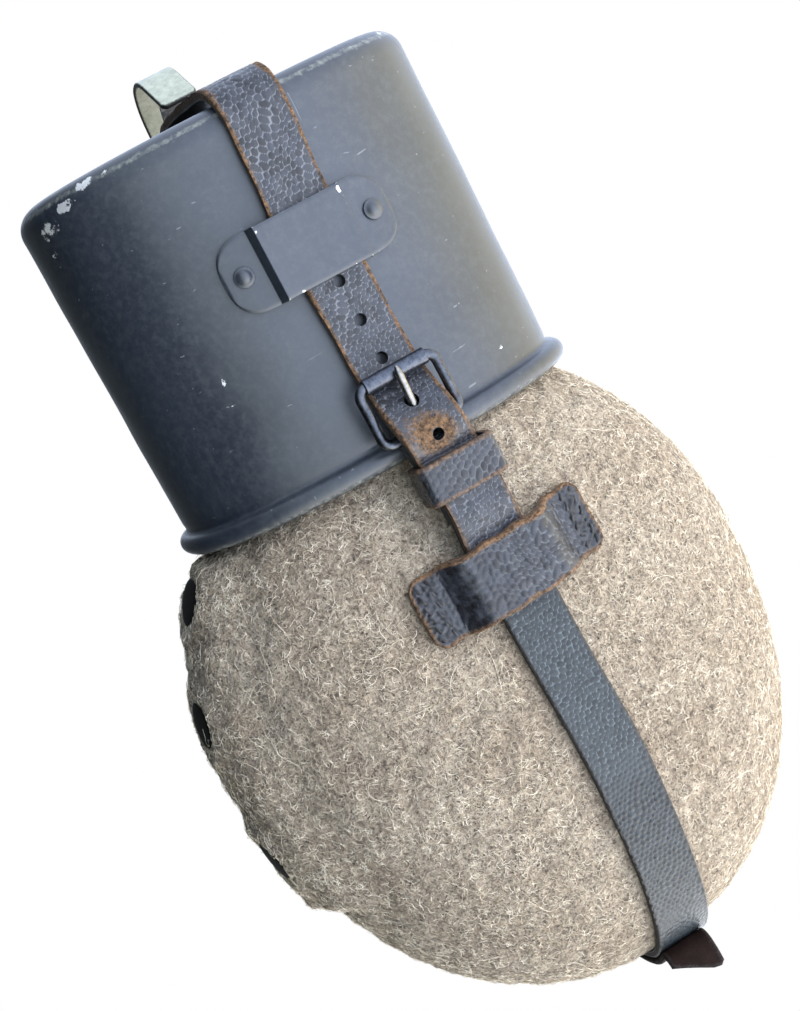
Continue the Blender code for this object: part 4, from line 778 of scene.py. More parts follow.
def felt_grid(angles_of, swell_of, shift, inset, bottom, columns):
    z = felt_rows(bottom)[:, None]
    first, last = angles_of(z)
    angles = first + (last - first) * np.linspace(0, 1, columns)[None, :]
    z = np.broadcast_to(z, angles.shape)
    return body_point(angles, z, inset - swell_of(angles, z)) + np.array((0, shift, 0))


def grid_normals(points):
    way = np.cross(np.gradient(points, axis=0), np.gradient(points, axis=1))
    way /= np.linalg.norm(way, axis=2, keepdims=True) + 1e-12
    outward = np.einsum("ijk,ijk->ij", way, points - points.mean((0, 1)) * (1, 0, 1)).mean()
    return way if outward > 0 else -way


def felt_panel(name, angles_of, swell_of, shift, columns, seed, look):
    outer = felt_grid(angles_of, swell_of, shift, 0.0, 0.3, columns)
    inner = felt_grid(angles_of, swell_of, shift, FELT, FELT + 0.3, columns)
    ways = grid_normals(outer)
    lump = np.minimum(0.22 * ripple(outer, 9.0, seed) + 0.16 * ripple(outer, 3.5, seed + 1), 0.22)
    if name == "felt_cover_front":
        for height in SNAP_HEIGHTS:
            away = np.linalg.norm(outer - flap_place(height)[0], axis=2)
            lump += 1.25 * np.exp(-(((away - 9.8) / 2.6) ** 2)) - 0.25 * np.exp(-((away / 6) ** 2))
        edge = outer[:, -1]
        corner = edge[np.argmin(np.abs(edge[:, 2] - FLAP_LOW - 3.4))]
        lump += 1.5 * np.exp(-((np.linalg.norm(outer - corner, axis=2) / 4.0) ** 2))
    outer = outer + ways * lump[..., None]
    points, faces, _ = slab(outer, inner, walls=2)
    made = piece(name, points, faces, look, [name.replace("cover_", "")], slot="wool_felt", sharp=60)
    return made, outer, ways


def cut_holes(target, cutters):
    """Takes closed meshes of (points, faces) out of a piece, and applies the cut."""
    points, faces = joined(cutters)
    mesh = bpy.data.meshes.new("cutter")
    mesh.from_pydata(((points - ORIGIN) * 0.001).tolist(), [], faces)
    cutter = bpy.data.objects.new("cutter", mesh)
    bpy.context.scene.collection.objects.link(cutter)
    modifier = target.modifiers.new("cut", "BOOLEAN")
    modifier.operation, modifier.solver, modifier.object = "DIFFERENCE", "EXACT", cutter
    graph = bpy.context.evaluated_depsgraph_get()
    made = bpy.data.meshes.new_from_object(target.evaluated_get(graph), depsgraph=graph)
    target.modifiers.clear()
    target.data = made
    bpy.data.objects.remove(cutter)


def peg(place, way, radius, reach, segments=24):
    return turned(((0, -reach), (radius, -reach), (radius, reach), (0, reach)), place, way, segments)


front_felt, FRONT_GRID, FRONT_WAYS = felt_panel(
    "felt_cover_front", lambda z: (0 * z, flap_angle(z)), flap_swell, -GAP / 2, 190, 3, LOOKS["felt"]
)
back_felt, BACK_GRID, BACK_WAYS = felt_panel(
    "felt_cover_back", lambda z: (tuck_angle(z), 360 + 0 * z), lambda a, z: 0 * a, GAP / 2, 150, 7,
    LOOKS["felt"],
)  # fmt: skip


def on_felt(tree, grid, ways, spots):
    """Each spot moved onto the felt nearest to it, and the felt's way out there."""
    found = [tree.find(spot)[1] for spot in spots.tolist()]
    base, out = grid.reshape(-1, 3)[found], ways.reshape(-1, 3)[found]
    return spots - out * np.einsum("ij,ij->i", spots - base, out)[:, None], out


def felt_hairs(name, grid, ways, count, lengths, lift, radius, steps, seed, clear, curl=3.0, look="fuzz"):
    """Loose hairs that curl along a felt panel, away from the places that clear says to leave."""
    chance = np.random.RandomState(seed)
    tall = np.linalg.norm(np.gradient(grid, axis=0), axis=2)
    wide = np.linalg.norm(np.gradient(grid, axis=1), axis=2)
    weight = (tall * wide * (grid[..., 2] < 152) * (grid[..., 2] > 1.5)).ravel()
    chosen = chance.choice(weight.size, size=int(count * 1.5), p=weight / weight.sum())
    chosen = chosen[~clear(grid.reshape(-1, 3)[chosen])][:count]
    row0, column0 = np.unravel_index(chosen, weight.reshape(grid.shape[:2]).shape)
    n = len(chosen)
    reach = chance.uniform(*lengths, n)[:, None]
    t = np.linspace(0, 1, steps)[None, :]
    heading = chance.uniform(0, 6.28, n)[:, None] + chance.normal(0, curl, n)[:, None] * t
    heading = heading + chance.normal(0, 1.6, n)[:, None] * np.sin(t * 5 + chance.uniform(0, 6, n)[:, None])
    tree = KDTree(grid.shape[0] * grid.shape[1])
    for index, spot in enumerate(grid.reshape(-1, 3).tolist()):
        tree.insert(spot, index)
    tree.balance()
    spots, out = grid[row0, column0], ways[row0, column0]
    line, line_out = [spots], [out]
    for k in range(1, steps):
        side = np.cross(out, (0.0, 0.0, 1.0))
        side /= np.linalg.norm(side, axis=1, keepdims=True) + 1e-9
        ahead = side * np.sin(heading[:, k, None]) + np.cross(side, out) * np.cos(heading[:, k, None])
        spots, out = on_felt(tree, grid, ways, spots + ahead * reach / (steps - 1))
        line.append(spots)
        line_out.append(out)
    spots, out = np.stack(line, 1), np.stack(line_out, 1)
    rise = 0.06 + chance.uniform(0.1, 1.0, n)[:, None] ** 2 * lift * np.sin(t * math.pi)
    points, faces = strands(spots + out * rise[..., None], radius)
    return piece(name, points, faces, LOOKS[look], slot="wool_felt")


def clear_front(points):
    x, z = points[:, 0], points[:, 2]
    under_strap = np.abs(x - strap_x(z)) < 10.5
    under_band = (np.abs(x - 5.2) < 28) & (np.abs(z - FRONT_KEEPER_Z) < 11)
    return (under_strap | under_band) & (points[:, 1] < 0)


def clear_back(points):
    x, z = points[:, 0], points[:, 2]
    return (np.abs(x - 4) < 11) | ((np.abs(x - 4) < 27) & (np.abs(z - REAR_KEEPER_Z) < 11))


felt_hairs("felt_hairs_front", FRONT_GRID, FRONT_WAYS, 6000, (1.6, 5.0), 0.45, 0.055, 6, 21, clear_front)
felt_hairs("felt_hairs_more", FRONT_GRID, FRONT_WAYS, 6000, (1.6, 5.0), 0.4, 0.05, 6, 24, clear_front)
felt_hairs("felt_hairs_long", FRONT_GRID, FRONT_WAYS, 110, (9.0, 28.0), 1.0, 0.055, 16, 22, clear_front, 1.6)
felt_hairs("felt_hairs_back", BACK_GRID, BACK_WAYS, 5000, (1.6, 5.0), 0.45, 0.06, 6, 23, clear_back)
snap_places = [flap_place(z) for z in SNAP_HEIGHTS]
cut_holes(front_felt, [peg(p, out, 3.7, FELT + 0.9) for p, out in snap_places])
under_flap = FLAP_SWELL + FELT / 2
cut_holes(back_felt, [peg(p - out * under_flap, out, 1.9, FELT / 2 + 0.6) for p, out in snap_places])
for number, (spot, out) in enumerate(snap_places, 1):
    square = math.hypot(out[0], out[1])
    r = SNAP_RADIUS
    dome = [(r * math.sin(t), 0.3 + 0.45 * math.cos(t)) for t in np.linspace(0, math.pi / 2, 9)]
    cap = [*dome, (r, GAP), (3.3, GAP), (3.3, -FELT * square), (2.4, -FELT * square), (2.4, -0.5), (0, -0.5)]
    points, faces = turned(cap, spot, out)
    piece(f"snap_{number}", points, faces, LOOKS["snap"], [f"snap_cap_{number}"], slot="snap_paint")


# ---------------------------------------------------------------- cup


def near(points, place, size):
    """1 at a place, falling to 0 away from it: size is a radius, or one along each axis."""
    away = (points - np.asarray(place, dtype=float)) / np.asarray(size, dtype=float)
    return np.exp(-np.sum(away**2, axis=-1))


# Where bare metal shows on the cup: place and size of each group of chips
CUP_CHIPS = (
    ((-47.5, -16, 236.5), (7, 9, 3.5)), ((-44, -24, 239.5), (6, 5, 2.5)), ((-39, -28, 242), (5, 4, 2.2)),
    ((-49, -12, 231), (4, 8, 2.2)), ((-33.5, -32, 242.2), (2.5, 3, 1.2)), ((44, -18, 242), (5, 6, 1.6)),
    ((-32.6, -32.6, 180.6), (1.7, 2, 1.0)), ((-32.4, -32.8, 186.4), (1.1, 2, 2.2)),
    ((32.1, -32.7, 161.8), (2.0, 2, 0.8)), ((-52, 0, 151.5), (6, 12, 1.3)),
    ((50, -10, 150.5), (5, 9, 1.2)), ((10, -41.5, 150.3), (12, 3, 0.7)),
)  # fmt: skip
# The same on the bracket, with each group's strength first
BRACKET_CHIPS = (
    (0.6, (11.3, -43, 214), (1.0, 4, 1.6)), (0.6, (11.3, -43, 209), (0.6, 4, 3.6)),
    (0.6, (-7.5, -43.5, 196.5), (3.4, 2, 0.9)), (0.55, (7.5, -43.5, 196.4), (4, 2, 0.6)),
    (0.45, (9.8, -43.5, 212), (1.4, 2, 2.0)), (0.55, (-11, -43.2, 213.6), (1.4, 3, 1)),
    (0.6, (-15.5, -39.5, 196.9), (2.4, 3, 1.0)), (0.5, (21.5, -36, 209), (1.2, 3, 3)),
)  # fmt: skip


def make_cup():
    turns = np.linspace(0, 2 * math.pi, 400, endpoint=False)
    bend = np.linspace(0, math.pi / 2, 14)
    rings = [cup_point(turns, CUP_TOP_Z + 0.25 * (1 - s), -CUP_EDGE, s) for s in np.linspace(0.02, 0.97, 22)]
    profile = [(-CUP_EDGE * (1 - math.sin(t)), CUP_TOP_Z - CUP_EDGE * (1 - math.cos(t))) for t in bend]
    bead_z = CUP_RIM_Z + BEAD_RADIUS
    profile += [(0, z) for z in np.linspace(CUP_TOP_Z - CUP_EDGE - 1, bead_z + BEAD_RADIUS + 2.6, 88)]
    profile += [(out, bead_z + BEAD_RADIUS + up) for out, up in ((-0.15, 1.5), (-0.2, 0.9), (0.1, 0.4))]
    for turn in np.linspace(math.pi * 0.42, -math.pi, 22):
        proud, rise = BEAD_RADIUS * math.cos(turn), BEAD_RADIUS * math.sin(turn)
        profile.append((BEAD_PROUD - BEAD_RADIUS + proud, bead_z + rise))
    inner_edge = CUP_EDGE - CUP_WALL
    profile += [(-CUP_WALL, z) for z in np.linspace(bead_z - 0.6, CUP_TOP_Z - CUP_EDGE - 1, 24)]
    inside_z = CUP_TOP_Z - CUP_EDGE
    for t in bend[::2]:
        profile.append((-CUP_WALL - inner_edge * (1 - math.cos(t)), inside_z + inner_edge * math.sin(t)))
    rings += [cup_point(turns, z, out) for out, z in profile]
    rings += [cup_point(turns, CUP_TOP_Z - CUP_WALL, -CUP_EDGE, s) for s in (0.9, 0.6, 0.3, 0.02)]
    points, faces = rings_mesh(rings)
    middle = np.array((0, 0, 190.0))
    out = (points - middle) * (1, 1, 0)
    out /= np.linalg.norm(out, axis=1, keepdims=True)
    dent = 0.16 * ripple(points, 55.0, 5) + 0.05 * ripple(points, 16.0, 6)
    dent -= 0.5 * near(points, (-38, -29, 176), (9, 9, 8)) + 0.35 * near(points, (34, -31, 222), (7, 9, 12))
    height = points[:, 2]
    dent = dent * step((height - 156) / 12) * step((CUP_TOP_Z - 2 - height) / 8)
    points = points + out * dent[:, None]
    chips = np.zeros(len(points))
    for place, size in CUP_CHIPS:
        chips = np.maximum(chips, near(points, place, size))
    # Paler bands: a painted highlight band along the top rounding near 241.6 mm, and worn paint along the
    # rim and the bead.
    wear_and_highlight = 0.5 * np.exp(-(((height - 241.6) / 1.6) ** 2)) + 0.42 * np.exp(-(((height - 150.6) / 1.1) ** 2))
    on_bead = np.hypot(points[:, 0] / 54.5, points[:, 1] / 41) > 0.98
    wear_and_highlight += 0.16 * np.exp(-(((height - 153) / 2.5) ** 2)) * on_bead
    fields = {"chips": chips * 0.74, "wear_and_highlight": wear_and_highlight}
    return piece("cup_body", points, faces, LOOKS["cup"], ["cup_shell"], "cup", fields, "cup_paint")


def wall_out(x, z):
    ahead, behind = (np.array((x + d, -cup_depth(x + d, z))) for d in (0.5, -0.5))
    along = ahead - behind
    out = np.array((along[1], -along[0], 0.0)) / np.linalg.norm(along)
    return out if out[1] < 0 else -out


def make_bracket():
    plate, rise, half_height, half_raised, half_long = 1.0, 3.4, 9.5, 11.4, 22.4
    ends = half_long - (half_long - 12.9) * (1 - np.cos(np.linspace(0, math.pi / 2, 26)))
    side = np.concatenate([ends, np.linspace(12.9, half_raised, 14)[1:], [11.2, 10.9]])
    x = np.concatenate([-side, np.linspace(-10.5, 10.5, 43), side[::-1]])[:, None]
    beyond = np.maximum(0.0, np.abs(x) - (half_long - half_height))
    high = np.maximum(1.2, half_height * oval(beyond / half_height, 2.8))
    high = high - 0.15 * (np.abs(x) < half_raised)
    levels = np.concatenate([[-1, -0.985, -0.95], np.linspace(-0.9, 0.9, 40), [0.95, 0.985, 1]])[None, :]
    z = BRACKET_Z + high * levels
    on_wall = cup_depth(x, BRACKET_Z + 9.5) + GAP + plate
    share = np.where(np.abs(x) > half_raised, step((12.6 - np.abs(x)) / 1.2), 1.0)
    top = CUP_FRONT + rise + plate
    y = on_wall + (top - on_wall) * share + 0 * z
    flat = 0.05 * ripple(np.stack([x + 0 * z, z], -1), 12.0, 8)
    slope_x = np.where((np.abs(x) > half_raised) & (np.abs(x) < 12.9), np.sign(x) * 0.75, 0.0)
    slope_y = np.where(slope_x != 0, -0.66, -1.0)
    border = np.minimum(high * (1 - np.abs(levels)), np.maximum(0, half_long - np.abs(x)))
    soft = 0.3 * np.exp(-((border / 0.35) ** 2))
    outer = np.stack(np.broadcast_arrays(x, -y - flat * (np.abs(x) < 10) + soft, z), -1)
    inner = np.stack(np.broadcast_arrays(x - slope_x * plate, -y - slope_y * plate, z), -1)
    chips = sum(strength * near(outer, place, size) for strength, place, size in BRACKET_CHIPS)
    wear_and_highlight = 0.34 * np.exp(-((border / 0.4) ** 2)) + 0.3 * np.exp(-(((np.abs(x) - 11.3) / 0.35) ** 2))
    fields = {"chips": (chips, 0, 0.25), "wear_and_highlight": (wear_and_highlight, 0, 0.3)}
    points, faces, values = slab(outer, inner, walls=2, fields=fields)
    paint = LOOKS["cup"]
    made = piece("bracket_plate", points, faces, paint, ["strap_bracket"], "cup", values, "cup_paint", 50)
    pegs = []
    head = ((0, 1.75), (0.5, 1.72), (1.0, 1.55), (1.45, 1.25), (1.75, 0.95))
    head += ((2.1, 0.72), (2.45, 0.6), (2.55, 0.4), (2.5, 0.3))
    shank = ((1.2, 0.3), (1.2, -2.6), (2.2, -2.6), (2.2, -3.4), (0, -3.4))
    for word, x in (("left", -17.3), ("right", 17.3)):
        out = wall_out(x, BRACKET_Z)
        place = np.array((x, -cup_depth(x, BRACKET_Z), BRACKET_Z)) + out * (GAP + plate)
        points, faces = turned((*head, *shank), place, out, 40)
        rub = {"chips": 0 * points[:, 0], "wear_and_highlight": 0.35 * near(points, place + out * 1.8, (1.2, 1.2, 1.2))}
        piece(f"rivet_{word}", points, faces, paint, [f"bracket_rivet_{word}"], "cup", rub, "cup_paint")
        pegs.append(peg(place, out, 1.5, 4.0))
    return made, pegs


cup = make_cup()
bracket, bracket_pegs = make_bracket()
cut_holes(bracket, bracket_pegs)
rear_pegs = []
for side in (-1, 1):
    for z in (197.0, 204.0):
        x = side * 26.5
        ahead = np.array((1.0, cup_depth(x + 0.5, z, True) - cup_depth(x - 0.5, z, True)))
        out = np.array((-ahead[1], ahead[0], 0.0)) / np.linalg.norm(ahead)
        rear_pegs.append(peg(np.array((x, cup_depth(x, z, True), z)), out, 1.5, 5.0))
cut_holes(cup, bracket_pegs + rear_pegs)


# ---------------------------------------------------------------- straps and keepers


def grained(outer, ways, across, run, half, pitch, seed, depth, groove=0.55, bend=0.9):
    """Presses the grain into an outer grid, and gives the new grid and its grain and tone fields."""
    wander = bend * ripple(np.stack([across, run], -1), 11.0, seed + 5)
    grain, tone = cells(across + wander, run + 0.6 * wander, pitch, seed)
    rise = depth * step(grain / (groove * pitch)) - depth
    fade = step((half - np.abs(across)) / 0.6)
    return outer + ways * (rise * fade)[..., None], grain / pitch * 1.6, tone


def border_of(across, run, half):
    sideways = half - np.abs(across)
    return np.minimum(sideways, np.minimum(run, run.max() - run))


def softened(outer, ways, rim, radius=0.45):
    """Rounds the outer grid's border over."""
    inside = np.clip(rim / radius, 0, 1)
    return outer - ways * (radius * (1 - np.sqrt(1 - (1 - inside) ** 2)))[..., None]


def strap_fields(rim, grain, tone, wear, gloss, pale, fray):
    return {
        "grain": (grain, 0.8, 0.5), "tone": (tone, 0.4, 0.3), "rim": (np.minimum(rim, 6), 3.0, -0.5),
        "wear": (wear, 0.1, 0.2), "gloss": (gloss, 0.0, 0.0), "pale": (pale, 0.2, 0.3),
        "fray": (fray, 0.2, 0.8),
    }  # fmt: skip


# Where the tongue's front is worn brown: strength, (x, z) and size
TONGUE_WEAR = (
    (0.62, (3.6, 154), (6.0, 4.5)), (0.36, (-1, 156), (8, 10)), (0.35, (4.5, 108), (7, 5)),
    (0.25, (-5, 172), (3.5, 14)), (0.3, (10, 235), (1.8, 6)),
)  # fmt: skip


def make_tongue():
    line = resampled(tongue_line(), lambda p: 0.36 if p[0] < 12 else 1.3)
    middle = front_middle(line)
    length = length_along(line)
    left = length[-1] - length
    half = np.minimum(STRAP_HALF, 2.2 + 5.9 * np.sqrt(np.clip(left / 5.2, 0, 1)))
    wave = 0.16 * np.sin(length / 7.3) + 0.1 * np.sin(length / 2.9 + 1)
    outer, inner, ways, across, run = strip(line, half - 0.1 + wave, TONGUE_PLY, middle, 43)
    z = line[:, 1][:, None] + 0 * across
    rim = border_of(across, run, half[:, None])
    on_front = (line[:, 0] < -30)[:, None]
    stretch = np.where(on_front & (z > 216), 1.0, 0.0)
    grain_run = run * (1 - 0.25 * stretch)
    pressed, grain, tone = grained(outer, ways, across, grain_run, half[:, None], 1.5, 11.0, 0.1)
    lump = 0.1 * ripple(outer, 6.0, 12)
    outer = softened(pressed + ways * np.minimum(lump, 0.08)[..., None], ways, rim)
    spots = np.stack([middle[:, None] + across, z], -1)
    wear = sum(strength * near(spots, place, size) for strength, place, size in TONGUE_WEAR) * on_front
    wear += 0.55 * step((z - 243) / 4) * step((4 - rim) / 4)
    wear += 0.5 * near(spots, (-4.6, 243.5), (2.2, 3.0)) + 0.5 * near(spots, (10.8, 244.5), (2.0, 3.0))
    over = np.where(on_front, 0.0, 1.0) * np.ones_like(across)
    # Creases are darker on the rear and just below the buckle: more painted crease shade there.
    pale = np.where(over > 0, 0.1, 0.85) * (1 - 0.5 * near(spots, (2, 150), (10, 10)))
    gloss = 0.3 * (1 - over) + 0 * across
    fray = np.where(np.abs(z - 200) < 46, 1.0, 0.8) + 0 * across
    fields = strap_fields(rim, grain, tone, wear, gloss, pale, fray)
    points, faces, values = slab(outer, inner, walls=4, fields=fields)
    look, slot = LOOKS["tongue"], "worn_leather"
    made = piece("tongue_leather", points, faces, look, ["tongue_strap"], "flask", values, slot, 55)
    pegs = []
    for z in HOLE_HEIGHTS:
        y, way = front_y_on(tongue_line(), z)
        pegs.append(peg((strap_x(z), y, z), way, HOLE_RADIUS, 3.0))
    root, tip = prong_ends()
    reach = np.linalg.norm(tip - root)
    hole = PRONG_RADIUS + GAP + 0.4
    pegs.append(turned(((0, -1), (hole, -1), (hole, reach), (0, reach)), root, tip - root, 24))
    pegs += [peg((REAR_X, 41.0, z), (0, 1, 0), 1.5, 14.0) for z in (176.5, 198.0)]
    cut_holes(made, pegs)
    return made


def prong_ends():
    middle = float(strap_x(ROLLER_Z))
    root = np.array((middle, -BAR_Y - 0.9, HEEL_Z + 2.2))
    return root, np.array((middle, -ROLLER_Y - ROLLER_RADIUS - 1.3, ROLLER_Z + 1.4))


def box_mesh(centre, size):
    corners = [[sx, sy, sz] for sx in (-0.5, 0.5) for sy in (-0.5, 0.5) for sz in (-0.5, 0.5)]
    faces = [[0, 1, 3, 2], [4, 6, 7, 5], [0, 4, 5, 1], [2, 3, 7, 6], [0, 2, 6, 4], [1, 5, 7, 3]]
    return np.array(corners) * size + np.array(centre), faces


def make_buckle_strap():
    line = resampled(buckle_strap_line(), lambda p: 0.4 if p[0] < -4 else 1.3)
    middle = front_middle(line)
    run_line = length_along(line)
    half = BUCKLE_STRAP_HALF + 0.08 * np.sin(run_line / 9)
    outer, inner, ways, across, run = strip(line, half, BUCKLE_PLY, middle, 41)
    z = line[:, 1][:, None] + 0 * across
    rim = border_of(across, run, half[:, None])
    shiny = step((66 - z) / 18) * step((z - 8) / 12)
    pressed, grain, tone = grained(outer, ways, across, run, half[:, None], 1.6, 23.0, 0.15, bend=0.5)
    puffed = grained(outer, ways, across, run, half[:, None], 1.6, 23.0, 0.42, 0.8, bend=0.5)[0]
    outer = pressed * (1 - shiny[..., None]) + puffed * shiny[..., None]
    outer = softened(outer, ways, rim)
    gloss = 0.25 + 0.75 * shiny
    # Creases stay dark on the glossy lower stretch: painted shade between the pebbles.
    pale = 0.9 * (1 - 0.95 * shiny)
    fields = strap_fields(rim, grain, tone, 0 * z, gloss, pale, 0.55 + 0 * z)
    points, faces, values = slab(outer, inner, walls=4, fields=fields)
    look, leather = LOOKS["strap"], "strap_leather"
    made = piece("lower_leather", points, faces, look, ["buckle_strap"], "flask", values, leather, 55)
    slot = box_mesh((float(strap_x(HEEL_Z)), -BAR_Y - 2.2, HEEL_Z + 1.2), (5.0, 12.0, 7.5))
    cut_holes(made, [slot] + [peg((REAR_X, 41.0, z), (0, 1, 0), 1.5, 14.0) for z in (176.5, 198.0)])


def make_keeper(name, node_name, z_middle, rear, over, half_long, tilt, seed):
    """A leather band sewn across a strap: its ends lie on the felt, its middle stands over the strap."""
    side = 1 if rear else -1
    greatest = REAR_DEPTH if rear else FRONT_DEPTH
    middle = REAR_X + 1.2 if rear else float(strap_x(z_middle))
    ply, end_round, half_height = 2.1, 4.0, KEEPER_HEIGHT / 2
    station = np.linspace(-1, 1, 130)[:, None]
    share = np.linspace(-1, 1, 47)[None, :]
    x = middle + station * half_long + 0 * share
    beyond = np.maximum(0.0, np.abs(station) * half_long - (half_long - end_round))
    high = half_height - end_round + np.sqrt(np.maximum(0.0, end_round**2 - beyond**2))
    high = high + 0.25 * np.sin(station * 17 + seed) * step((1 - np.abs(station)) / 0.1)
    z = z_middle + share * high + math.tan(tilt) * (x - middle)
    felt = np.maximum.reduce([depth_at(x + dx, z, greatest) for dx in (-2, 0, 2)]) + GAP + 0.2
    raised = np.maximum(over(z), felt)
    y = felt + (raised - felt) * step((0.66 - np.abs(station)) / 0.26)
    inner = np.stack([x, side * y, z], -1)
    ways = grid_normals(inner)
    outer = inner + ways * ply
    across, run = share * high, (station + 1) * half_long + 0 * share
    rim = np.minimum(high - np.abs(across), np.maximum(0, half_long * (1 - np.abs(station))))
    ends = step((np.abs(station) - 0.68) / 0.14) + 0 * share
    left = step((0.1 - station) / 0.5) + 0 * share
    pressed, grain, tone = grained(outer, ways, across, run, high, 1.8, seed, 0.3, 0.75, bend=1.2)
    seam = np.abs(np.sin((x - 1.4 * np.sin(z * 1.3)) * 1.35)) ** 3
    lump = 0.14 * ripple(outer, 5.0, int(seed)) - 0.45 * ends * seam
    outer = softened(pressed + ways * np.minimum(lump, 0.12)[..., None], ways, rim, 0.6)
    upper, lower = step((across - high + 2.6) / 2.6), step((-across - high + 2.0) / 2.0)
    wear = 0.66 * upper + 0.42 * lower + 0.16 * step((station - 0.05) / 0.3) * (1 - ends)
    gloss = 0.2 + 0.8 * left * (1 - ends)
    # Creases get painted shade on the left and at the sewn ends, and stay pale elsewhere.
    fields = strap_fields(rim, grain, tone, wear, gloss, 0.25 + 0.55 * (1 - left) * (1 - ends), 0.9 + 0 * x)
    points, faces, values = slab(outer, inner, walls=4, fields=fields)
    piece(name, points, faces, LOOKS["keeper"], [node_name], "flask", values, "worn_leather", 60)
    stitches = []
    for end in (-1, 1):
        for row in np.linspace(-0.74, 0.74, 6):
            for off in (0.9, 0.79):
                column = int(round((end * off + 1) / 2 * 129))
                level = int(round((row + 1) / 2 * 46))
                centre = outer[column, level] + ways[column, level] * 0.12
                lie = np.array((0.35 * end, 0, 1.0))
                lie -= ways[column, level] * np.dot(lie, ways[column, level])
                lie /= np.linalg.norm(lie)
                t = np.linspace(-1, 1, 7)[:, None]
                stitches.append(centre + lie * t * 1.25 - ways[column, level] * 0.5 * t**4)
    thread = [wire(s, [0.12, 0.3, 0.34, 0.35, 0.34, 0.3, 0.12], 8, False) for s in stitches]
    points, faces = joined(thread)
    piece(name + "_thread", points, faces, LOOKS["thread"], slot="worn_leather")


def make_slider():
    middle, back, front = float(strap_x(SLIDER_Z)), 41.1, TONGUE_Y + TONGUE_PLY / 2 + GAP + 1.7
    half, ply, corner = STRAP_HALF + 0.9 + 1.7, 1.7, 2.4
    centre_y, half_y = -(back + front) / 2, (front - back) / 2

    def loop(inset):
        spots = []
        for quarter, (sx, sy) in enumerate(((1, 1), (-1, 1), (-1, -1), (1, -1))):
            for turn in quarter * math.pi / 2 + np.linspace(0, math.pi / 2, 10):
                x, y = sx * (half - corner), sy * (half_y - corner)
                reach = corner - inset
                spots.append((x + reach * math.cos(turn), y + reach * math.sin(turn)))
        spots = np.array(spots + spots[:1])
        length = length_along(spots)
        stations = np.linspace(0, 1, 180, endpoint=False) * length[-1]
        return np.stack([np.interp(stations, length, spots[:, k]) for k in (0, 1)], -1), stations

    (outside, run), (inside, _) = loop(0.0), loop(ply)
    share = np.linspace(-1, 1, 29)[:, None]
    high = SLIDER_HEIGHT / 2
    grids = []
    for spots in (outside, inside):
        x = middle + spots[None, :, 0] + 0 * share
        y = centre_y + spots[None, :, 1] + 0 * share
        grids.append(np.stack([x, y, SLIDER_Z + share * high + 0 * x], -1))
    outer, inner = grids
    ways = outer - inner
    ways /= np.linalg.norm(ways, axis=2, keepdims=True) + 1e-9
    across, length = share * high + 0 * run[None, :], run[None, :] + 0 * share
    rim = high - np.abs(across)
    pressed, grain, tone = grained(outer, ways, across, length, high, 1.9, 31.0, 0.2, 0.7, bend=0.7)
    outer = softened(pressed, ways, rim, 0.5)
    left = step((middle - 3 - outer[..., 0]) / 4)
    # Creases get more painted shade on the left side.
    fields = strap_fields(rim, grain, tone, 0 * rim, 0.4 + 0.6 * left, 0.7 - 0.5 * left, 0.7 + 0 * rim)
    points, faces, values = slab(outer, inner, closed=True, walls=4, fields=fields)
    look = LOOKS["keeper"]
    piece("slider_loop", points, faces, look, ["sliding_keeper"], "slider", values, "worn_leather", 60)


def make_tab():
    ply = 1.8
    under = offset_line(felt_support(), 2 * GAP + 0.15 + BUCKLE_PLY + ply / 2)
    held = [p for p in under if p[1] < 4.6 and p[0] < 12]
    droop = [held[0] + np.array(s) for s in ((-4.6, -10.8), (-4.3, -7.2), (-3.7, -3.6), (-2.4, -0.9))]
    line = resampled(np.array(droop + held), 0.3)
    length = length_along(line)
    along = np.gradient(line, axis=0)
    along /= np.linalg.norm(along, axis=1, keepdims=True)
    x = np.linspace(TAB_EDGE[0][0], TAB_EDGE[-1][0], 36)
    cut_back = np.interp(x, [e[0] for e in TAB_EDGE], [e[1] for e in TAB_EDGE])
    run = cut_back[None, :] + (length[-1] - cut_back[None, :]) * np.linspace(0, 1, 90)[:, None]
    spot = np.stack([np.interp(run, length, line[:, k]) for k in (0, 1)], -1)
    way = np.stack([np.interp(run, length, along[:, k]) for k in (0, 1)], -1)
    ways = np.zeros((*run.shape, 3))
    ways[..., 1], ways[..., 2] = way[..., 1], -way[..., 0]
    core = np.concatenate([x[None, :, None] + 0 * run[..., None], spot], -1)
    outer, inner = core + ways * ply / 2, core - ways * ply / 2
    rim = np.minimum(np.minimum(x - x[0], x[-1] - x)[None, :] + 0 * run, run - cut_back[None, :])
    lump = 0.12 * ripple(core, 4.0, 41)
    inner = softened(inner - ways * np.minimum(lump, 0.1)[..., None], -ways, rim)
    outer = softened(outer, ways, rim)
    fields = {
        "grain": (0.8, 0.9, 0.9), "tone": (0.4, 0.4, 0.2),
        "rim": (np.minimum(rim, 5), np.minimum(rim, 5), -0.4),
        "wear": (0.0, 0.0, 0.0), "gloss": (0.1, 0.0, 0.0), "pale": (0.1, 0.1, 0.1), "fray": (0.4, 0.5, 0.9),
    }  # fmt: skip
    points, faces, values = slab(outer, inner, walls=5, fields=fields)
    piece("bottom_leather", points, faces, LOOKS["tab"], ["bottom_tab"], "flask", values, "worn_leather", 60)


